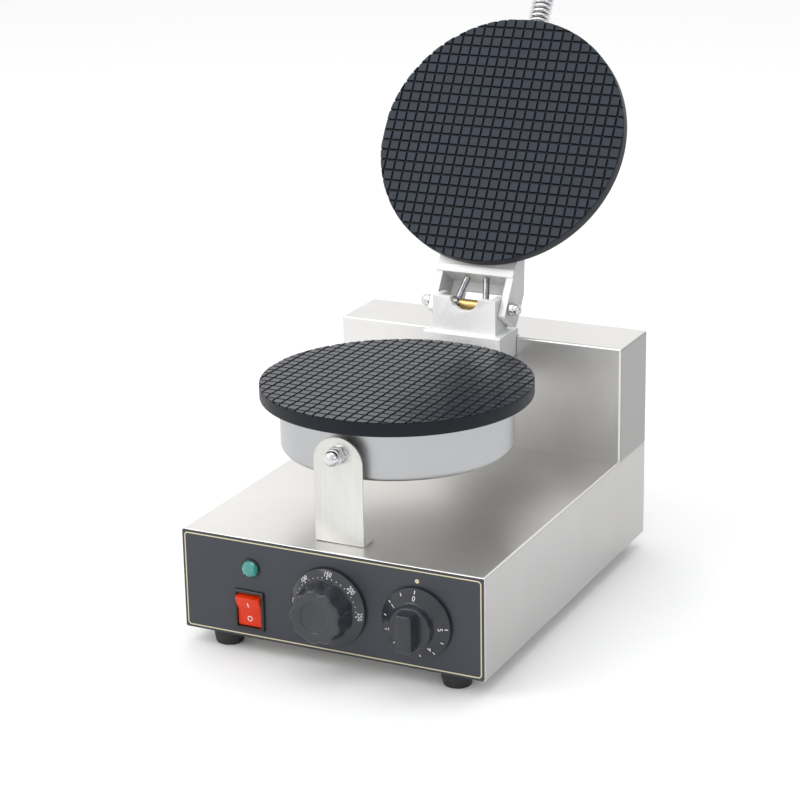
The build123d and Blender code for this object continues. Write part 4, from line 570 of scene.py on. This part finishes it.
# ==== temperature dial =============================================================================
# Moulded phenolic knob on the thermostat's shaft: a sloped skirt with white figures, and a fluted
# grip with a dished end.
def fluted_knob(columns=360):
    """Closed knob.  Each row is a ring at one height.  Rows of the skirt are round; on the grip
    the radius is cut by nine round flutes and drawn in towards the shoulder, and towards the middle
    of its end the rings turn round again with the sixth power of their share of the radius."""
    angle = np.linspace(0, 2 * pi, columns, endpoint=False)
    grip_r, flute_r, flutes = 23.2 * MM, 9.0 * MM, 9
    flute_middle = grip_r + flute_r - 1.9 * MM
    swing = (angle + pi / flutes) % (2 * pi / flutes) - pi / flutes
    inside = np.clip(flute_r ** 2 - (flute_middle * np.sin(swing)) ** 2, 0, None)
    cut = flute_middle * np.cos(swing) - np.sqrt(inside)
    edge = np.where(inside > 0, np.minimum(grip_r, cut), grip_r)
    kernel = np.ones(9) / 9
    edge = np.convolve(np.concatenate([edge[-4:], edge, edge[:4]]), kernel, "valid")
    rows = [(0 * angle, knob_gap)]
    skirt = [(29.6, 1.2)] + bend((30.0, 1.7), 0.5, -90, 0, 4) + bend((30.0, 2.9), 0.5, 0, 60, 4)
    skirt += [(26.5, 5.35), (24.4, 6.6)]
    rows += [(np.full(columns, r * MM), h * MM) for r, h in skirt]
    end_top, shoulder, draw_in = 25.0 * MM, 2.6 * MM, 2.0 * MM
    rows += [(edge + 0.35 * MM, 6.85 * MM), (edge + 0.05 * MM, 7.3 * MM), (edge, 8.0 * MM)]
    rows.append((edge - draw_in, end_top - shoulder))
    for r, h in bend((0, 0), shoulder, 8, 90, 8):
        rows.append((edge - draw_in - shoulder + r, end_top - shoulder + h))
    face_r = grip_r - draw_in - shoulder
    for share in (0.94, 0.88, 0.80):
        ring = share * face_r - (grip_r - edge) * share ** 6
        rows.append((ring, end_top + 0 * share))
    dish_r, dish_depth = 0.66 * face_r, 1.3 * MM
    for share, drop in ((1.0, 0.1), (0.97, 0.5), (0.92, 0.8), (0.75, 0.95), (0.5, 1.0), (0.25, 1.0),
                        (0.0, 1.0)):
        rows.append((np.full(columns, share * dish_r), end_top - drop * dish_depth))
    points = [np.column_stack([r * np.cos(angle), r * np.sin(angle), 0 * angle + h]) for r, h in rows]
    return np.concatenate(points), faces_of_grid(len(rows), columns)


knob_gap = 1.2 * MM
knob_black = finish("knob_black", (0.028, 0.030, 0.037), (0.044, 0.047, 0.056), (0.12, 0.22),
                    bump=0.0000015, grain=900, patch=24, patch_share=0.8)
knob_points, knob_faces = fluted_knob()
make_piece("temperature_dial_knob", (carry(knob_points, temp_middle, *facing), knob_faces),
           knob_black, "temperature_dial", ["temperature_knob"], sharp=50)


def figure_shape(text, size):
    """Flat outline of a figure from the plain built-in font, centred, as (points, faces)."""
    curve = bpy.data.curves.new("figure", "FONT")
    curve.body = text
    curve.size = size
    curve.align_x, curve.align_y = "CENTER", "CENTER"
    curve.resolution_u = 4
    curve.extrude = 0.03 * MM
    holder = bpy.data.objects.new("figure", curve)
    bpy.context.scene.collection.objects.link(holder)
    bpy.context.view_layer.update()
    flat = bpy.data.meshes.new_from_object(holder.evaluated_get(
        bpy.context.evaluated_depsgraph_get()))
    points = np.array([v.co[:] for v in flat.vertices])
    faces = [tuple(p.vertices) for p in flat.polygons]
    bpy.data.objects.remove(holder)
    bpy.data.meshes.remove(flat)
    points[:, :2] -= (points[:, :2].max(0) + points[:, :2].min(0)) / 2
    return points, faces


def on_cone(points, clockwise, radius, foot, rise):
    """Bends a flat shape round a dial: its width runs along the circle of the given radius, its
    height runs outwards, and it lies on a cone of height foot - rise x (r - radius) at radius r."""
    r = radius + points[:, 1]
    angle = pi / 2 - radians(clockwise) - points[:, 0] / r
    height = foot - rise * (r - radius) + points[:, 2]
    return np.column_stack([r * np.cos(angle), r * np.sin(angle), height])


def spot(size):
    """Small round or barred mark, as (points, faces): size is its half width and half height."""
    outline = rounded_rectangle(size[0], size[1], min(size) * 0.98, 4)
    rows = [np.column_stack([outline * share, np.full(len(outline), height)])
            for share, height in ((0, -0.03 * MM), (1, -0.03 * MM), (1, 0.03 * MM), (0, 0.03 * MM))]
    return np.concatenate(rows), faces_of_grid(4, len(outline))


degrees_per_fifty, dial_turn = 45.0, 4.0
dots_per_fifty = 5
skirt_top_r, skirt_top = 24.4, 6.6          # radius and height where the skirt's cone begins, in mm
cone_rise = (skirt_top - 3.33) / (30.25 - skirt_top_r)
figure_r, dot_r, print_lift = 27.6, 25.0, 0.04
figures = []
for step, text in enumerate(("50", "100", "150", "200", "250")):
    clockwise = (step - 2) * degrees_per_fifty + dial_turn
    points, faces = figure_shape(text, 4.4 * MM)
    foot = skirt_top - (figure_r - skirt_top_r) * cone_rise + print_lift
    figures.append((on_cone(points, clockwise, figure_r * MM, foot * MM, cone_rise), faces))
    foot = skirt_top - (dot_r - skirt_top_r) * cone_rise + print_lift
    for part in range(dots_per_fifty if step < 4 else 1):
        points, faces = spot((0.52 * MM,) * 2 if part == 0 else (0.33 * MM,) * 2)
        turned = clockwise + part * degrees_per_fifty / dots_per_fifty
        figures.append((on_cone(points, turned, dot_r * MM, foot * MM, cone_rise), faces))
figure_points, figure_faces = join(*figures)
make_piece("temperature_figures", (carry(figure_points, temp_middle, *facing), figure_faces),
           white_print, "temperature_dial")

# ==== timer dial ===================================================================================
# Conical skirt with the minutes counted anticlockwise, a round collar and a bar grip.
skirt_profile = [(0, 1.2), (27.0, 1.2)] + bend((27.1, 1.6), 0.4, -90, 0, 4)
skirt_profile += bend((27.0, 2.9), 0.5, 0, 65, 4) + [(22.5, 5.2), (18.4, 7.1)]
skirt_profile += [(17.3, 7.7), (16.9, 8.4), (16.5, 13.0)] + bend((14.5, 13.2), 2.0, 0, 90, 6)
skirt_profile += [(7.0, 15.4), (0, 15.4)]
skirt_points, skirt_faces = lathe(np.array(skirt_profile) * MM, 144)


def bar_grip(half_width, half_length, corner, top, edge, taper, middle):
    """Upright bar: a rounded-rectangle outline carried up, drawn in by taper per unit of height,
    then over its top by a quarter circle of radius edge."""
    rows = [(0.0, 3.0 * MM, 0.0), (1.0, 3.0 * MM, 0.0), (1.0, top - edge, 0.0)]
    rows += [(1.0, top - edge + h, edge - r) for r, h in bend((0, 0), edge, 15, 90, 5)]
    rings = []
    for share, height, inset in rows + [(0.0, top, 0.0)]:
        draw_in = inset + taper * height
        outline = share * rounded_rectangle(
            half_width - draw_in, half_length - draw_in, max(corner - inset, 0.2 * MM))
        rings.append(np.column_stack([outline + (0, middle), np.full(len(outline), height)]))
    return np.concatenate(rings), faces_of_grid(len(rings), len(rings[0]))


bar = bar_grip(7.0 * MM, 15.0 * MM, 2.4 * MM, 26.2 * MM, 1.6 * MM, 0.02, 0.0)
timer_shape = join((skirt_points, skirt_faces), bar)
satin_black = finish("satin_black", (0.016, 0.017, 0.022), (0.030, 0.032, 0.040), (0.16, 0.26),
                     bump=0.000003, grain=1100, patch=24, patch_share=0.8)
make_piece("timer_dial_knob", (carry(timer_shape[0], timer_middle, *facing), timer_shape[1]),
           satin_black, "timer_dial", ["timer_knob"], sharp=40)
degrees_per_minute = 54.0
collar_r, collar_foot = 18.4, 7.1           # radius and height of the cone's inner edge, in mm
timer_rise = (collar_foot - 3.35) / (27.2 - collar_r)
minute_r, minute_mark_r, half_mark_r, print_lift = 20.9, 25.0, 24.2, 0.05
marks = []


def timer_mark(shape, anticlockwise, place):
    """Adds a flat shape to the timer's marks, on the cone at radius place in mm."""
    foot = collar_foot - (place - collar_r) * timer_rise + print_lift
    marks.append((on_cone(shape[0], -anticlockwise, place * MM, foot * MM, timer_rise), shape[1]))


for minute in range(6):
    anticlockwise = minute * degrees_per_minute
    timer_mark(figure_shape(str(minute), 5.0 * MM), anticlockwise, minute_r)
    line = spot((0.33 * MM, 1.2 * MM))
    timer_mark(line, anticlockwise, minute_mark_r)
    if minute < 5:
        timer_mark(line, anticlockwise + degrees_per_minute / 2, half_mark_r)
mark_points, mark_faces = join(*marks)
make_piece("timer_figures", (carry(mark_points, timer_middle, *facing), mark_faces), white_print,
           "timer_dial")

# ==== inside pieces ================================================================================
# Shafts, wiring block, sensor, elements and insulation, seen only with the covers off.
turned_steel = finish("turned_steel", (0.46, 0.46, 0.46), (0.66, 0.66, 0.66), (0.22, 0.36),
                      metallic=1.0, bump=0.000004, grain=900, patch=40)
dress(["temperature_shaft", "timer_shaft", "lead_conduit"], turned_steel)
dress(["capillary_tube", "thermostat_bulb"],
      finish("drawn_copper", (0.50, 0.22, 0.13), (0.74, 0.40, 0.26), (0.24, 0.42), metallic=1.0,
             bump=0.000006, grain=600, patch=50))
dress(["lower_element", "upper_element"],
      finish("element_sheath", (0.05, 0.045, 0.045), (0.16, 0.13, 0.12), (0.4, 0.6), metallic=0.7,
             bump=0.00001, grain=800, patch=30))
dress(["lower_insulation", "upper_insulation"],
      finish("ceramic_fibre", (0.66, 0.63, 0.55), (0.86, 0.84, 0.78), (0.85, 0.95), bump=0.0003,
             grain=420, patch=20))
dress(["terminal_block"],
      finish("glazed_ceramic", (0.74, 0.72, 0.66), (0.86, 0.84, 0.79), (0.12, 0.3), bump=0.00001,
             grain=500, patch=40))

# ==== heater cans ==================================================================================
# Drawn steel cups under the lower plate and over the upper one, satin finished.
can_steel = finish("satin_can", (0.43, 0.435, 0.445), (0.50, 0.505, 0.515), (0.30, 0.40),
                   metallic=1.0, bump=0.000004, grain=1500, patch=8, stretch=(1, 1, 0.05),
                   patch_share=0.85)
dress(["lower_heater_can", "upper_heater_can"], can_steel)

# ==== lid frame ====================================================================================
# The lid's pieces are worked out shut and then swung open about the hinge axis to where they rest.
lid_joint = next(j for j in frame["joints"] if j["name"] == "lid_hinge")
hinge = np.array(lid_joint["pos_m"])
lid_open = radians(lid_joint["range_deg"][1])
swing = np.array([[1, 0, 0], [0, cos(lid_open), sin(lid_open)], [0, -sin(lid_open), cos(lid_open)]])


def opened(points):
    """Points of the shut lid, turned back about the hinge axis to the open rest position."""
    return (np.asarray(points) - hinge) @ swing.T + hinge


lid_out = swing @ Z
lid_far = swing @ -Y
can_screw_head = (4.0 * MM, 2.4 * MM)
make_screws("lower_can_screws", "base", X, -Y, -Z, *can_screw_head)
make_screws("upper_can_screws", "lid", X, -lid_far, lid_out, *can_screw_head)


# ==== baking plates ================================================================================
# Cast plates with a dark non-stick coating.  Both faces are cut with a square grid of narrow
# grooves that runs out through the rim.
def groove_lines(reach, pitch, half_top, half_foot):
    """Places of the mesh lines across one direction, five to each cell: both lips and both foot
    lines of every groove, and the middle of the cell."""
    count = int(reach / pitch) + 1
    middles = np.arange(-count, count + 1)[:, None] * pitch
    offsets = np.array([-half_top, -half_foot, half_foot, half_top, pitch / 2])
    return np.unique(np.round((middles + offsets).ravel(), 7))


def groove_depth(place, pitch, half_top, half_foot):
    """1 on a groove's floor, 0 on the cell, and linear on the walls between."""
    from_middle = np.abs((place + pitch / 2) % pitch - pitch / 2)
    return np.clip((half_top - from_middle) / (half_top - half_foot), 0, 1)


def waffle_plate(radius, thick, pitch=8.75 * MM, depth=1.35 * MM, half_top=1.0 * MM,
                 half_foot=0.38 * MM):
    """Closed plate with its baking face at local z 0.  Face points stand on a square net whose
    height is the deeper of the two grooves; the net's outermost points are drawn in to the rim's
    circle, and the wall is those points carried down and round to the middle of the back."""
    lines = groove_lines(radius, pitch, half_top, half_foot)
    x, y = np.meshgrid(lines, lines, indexing="ij")
    cut = np.maximum(groove_depth(x, pitch, half_top, half_foot),
                     groove_depth(y, pitch, half_top, half_foot))
    crown_height = 0.10 * MM         # of the worn cells' round tops
    crown = crown_height * np.cos(x / pitch * 2 * pi) * np.cos(y / pitch * 2 * pi) * (cut == 0)
    points = np.stack([x, y, -depth * cut - crown_height - crown], -1).reshape(-1, 3)
    inner_r = radius - 0.45 * MM     # where the face ends and the rim's rounding begins
    count = len(lines)
    quads = faces_of_grid(count, count, wrap=False)
    far = np.hypot(points[:, 0], points[:, 1])
    kept = quads[(far[quads] < inner_r).any(1)]
    outside = far > inner_r - 0.25 * MM
    points[outside, :2] *= (inner_r / far[outside])[:, None]
    edges = np.concatenate([kept[:, [i, (i + 1) % 4]] for i in range(4)])
    keys = np.sort(edges, 1)
    first, times = np.unique(keys, axis=0, return_index=True, return_counts=True)[1:]
    border = np.unique(edges[first[times == 1]])
    around = border[np.argsort(np.arctan2(points[border, 1], points[border, 0]))]
    ring = points[around]
    angle = np.arctan2(ring[:, 1], ring[:, 0])
    below_grooves, back_edge = 2.6 * MM, 1.2 * MM
    wall = [(radius - 0.12 * MM, ring[:, 2] - 0.14 * MM), (radius, ring[:, 2] - 0.5 * MM),
            (radius, -below_grooves)]
    wall += bend((radius - back_edge, back_edge - thick), back_edge, 0, -90, 4) + [(0.0, -thick)]
    rows = [ring] + [np.column_stack([r * np.cos(angle), r * np.sin(angle), h + 0 * angle])
                     for r, h in wall]
    return join((points, kept), (np.concatenate(rows), faces_of_grid(len(rows), len(ring))))


coating = finish("plate_coating", (0.006, 0.010, 0.017), (0.017, 0.022, 0.033), (0.20, 0.32),
                 bump=0.000012, grain=900, patch=16, patch_share=0.5)
# The lid's copy of the same coating is painted lighter and bluer: painted light for the open lid's
# face.
lid_coating_lit = finish("lid_coating_lit", (0.010, 0.016, 0.028), (0.021, 0.029, 0.044), (0.26, 0.38),
                     bump=0.000012, grain=900, patch=16, patch_share=0.5, Specular_IOR_Level=0.22)
# Darker colour for the grooves, the wall and the back of both plates; in the grooves it is painted
# shade.
groove_shade_and_wall = finish("plate_groove_shade_and_wall", (0.004, 0.005, 0.009), (0.010, 0.012, 0.018), (0.42, 0.56),
                   bump=0.00003, grain=700, patch=20, Specular_IOR_Level=0.22)
plate_low, plate_high = (np.array(corner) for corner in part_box("lower_plate"))
plate_r = 105.0 * MM
plate_thick = 11.5 * MM
plate_gap = 4.0 * MM
plate_middle = np.append((plate_low[:2] + plate_high[:2]) / 2, plate_high[2])
plate_points, plate_faces = waffle_plate(plate_r, plate_thick)


def darken_grooves(plate, middle, out):
    """Gives groove_shade_and_wall to every face that lies deeper than the cells' tops, so to the
    grooves, the
    wall and the back: painted shade in the grooves.  middle is the centre of the baking face and out
    its normal."""
    mesh = plate.data
    mesh.materials.append(groove_shade_and_wall)
    centres = np.empty(3 * len(mesh.polygons))
    mesh.polygons.foreach_get("center", centres)
    drop = (np.asarray(middle) - centres.reshape(-1, 3)) @ np.asarray(out)
    cell_depth = 0.32 * MM
    mesh.polygons.foreach_set("material_index", (drop > cell_depth).astype(np.int32))


lower_waffle = make_piece("lower_waffle_plate", (plate_points + plate_middle, plate_faces),
                          coating, "base", ["lower_plate"], sharp=20,
                          merge=0.01 * MM)
lid_points = opened(carry(plate_points, plate_middle + plate_gap * Z, X, -Y, -Z))
darken_grooves(lower_waffle, plate_middle, Z)
upper_waffle = make_piece("upper_waffle_plate", (lid_points, plate_faces), lid_coating_lit, "lid",
                          ["upper_plate"], sharp=20, merge=0.01 * MM)
darken_grooves(upper_waffle, opened(plate_middle + plate_gap * Z), -lid_out)

# ==== front strap ==================================================================================
# Bent stainless strip from the base to the lower can, with a spacer, a bolt and a dome nut, and
# two screws in its foot.
strap_steel = finish("strap_stainless", (0.60, 0.595, 0.57), (0.74, 0.735, 0.71), (0.26, 0.38),
                     metallic=1.0, bump=0.0000012, grain=1000, patch=12, stretch=(1, 1, 0.03))
strap = softened("front_strap", "base", strap_steel, 0.2 * MM)
strap_screw_head = (4.2 * MM, 2.6 * MM)
make_screws("strap_screws", "base", X, Y, Z, *strap_screw_head)
chrome = finish("bright_chrome", (0.58, 0.58, 0.59), (0.76, 0.76, 0.77), (0.12, 0.22),
                metallic=1.0, bump=0.000002, grain=500, patch=60)
dress(["strap_bolt", "strap_spacer"], chrome)
for nut in ("strap_acorn_nut", "left_hinge_nut", "right_hinge_nut"):
    softened(nut, "base", chrome, 0.18 * MM, angle=25)

# ==== hinge ========================================================================================
# Sand-cast aluminium bracket and lid arm, milled where they meet.  A steel shaft runs through both,
# with a brass bush between the two eyes of the chromed rods.
# side_shade paints shade on the bracket's and the arm's faces that look along X.
cast_skin = finish("cast_aluminium", (0.82, 0.82, 0.815), (0.95, 0.95, 0.945), (0.42, 0.58),
                   metallic=0.35, side_shade=0.62, bump=0.00003, grain=520, patch=26, patch_share=0.5)
softened("hinge_bracket", "base", cast_skin, 0.7 * MM)
softened("lid_arm", "lid", cast_skin, 0.8 * MM)
dress(["hinge_shaft"], chrome)
dress(["eye_rods"],
      finish("eye_rod_steel", (0.16, 0.165, 0.175), (0.46, 0.465, 0.475), (0.08, 0.18), metallic=1.0,
             bump=0.000004, grain=500, patch=120, patch_share=0.85))
dress(["brass_bush"],
      finish("turned_brass", (0.50, 0.34, 0.12), (0.76, 0.58, 0.26), (0.2, 0.36), metallic=1.0,
             bump=0.000006, grain=700, patch=60))

# ==== handle =======================================================================================
# Steel rod with a close-wound coil of chromed wire that keeps the grip cool, and a turned cap.
dress(["handle_rod", "handle_nuts"], turned_steel)
dress(["handle_cap"], chrome)
coil_start, coil_turns, coil_pitch = 238.0 * MM, 28, 4.2 * MM
coil_r, wire_r = 9.0 * MM, 1.8 * MM
handle_rise = 6.5 * MM


def wound_wire(turns, pitch, radius, wire, steps=28, around=10):
    """Helix along local Z: a round section of the wire's radius carried along the helix, square to
    it, with its ends closed."""
    angle = np.linspace(0, 2 * pi * turns, turns * steps + 1)[:, None]
    centre = np.concatenate([radius * np.cos(angle), radius * np.sin(angle),
                             pitch * angle / (2 * pi)], 1)
    outward = np.concatenate([np.cos(angle), np.sin(angle), 0 * angle], 1)
    along = np.concatenate([-radius * np.sin(angle), radius * np.cos(angle),
                            np.full_like(angle, pitch / (2 * pi))], 1)
    along /= np.linalg.norm(along, axis=1, keepdims=True)
    side = np.cross(along, outward)
    section = np.linspace(0, 2 * pi, around, endpoint=False)
    rings = centre[:, None] + wire * (outward[:, None] * np.cos(section)[None, :, None]
                                      + side[:, None] * np.sin(section)[None, :, None])
    ends = np.repeat(centre[[0, -1]][:, None], around, 1)
    rings = np.concatenate([ends[:1], rings, ends[1:]])
    return rings.reshape(-1, 3), faces_of_grid(len(rings), around)


coil_points, coil_faces = wound_wire(coil_turns, coil_pitch, coil_r - wire_r, wire_r)
coil_origin = hinge + handle_rise * Z - coil_start * Y
make_piece("handle_wire_coil", (opened(carry(coil_points, coil_origin, X, Z, -Y)), coil_faces),
           chrome, "lid", ["handle_coil"], sharp=60)
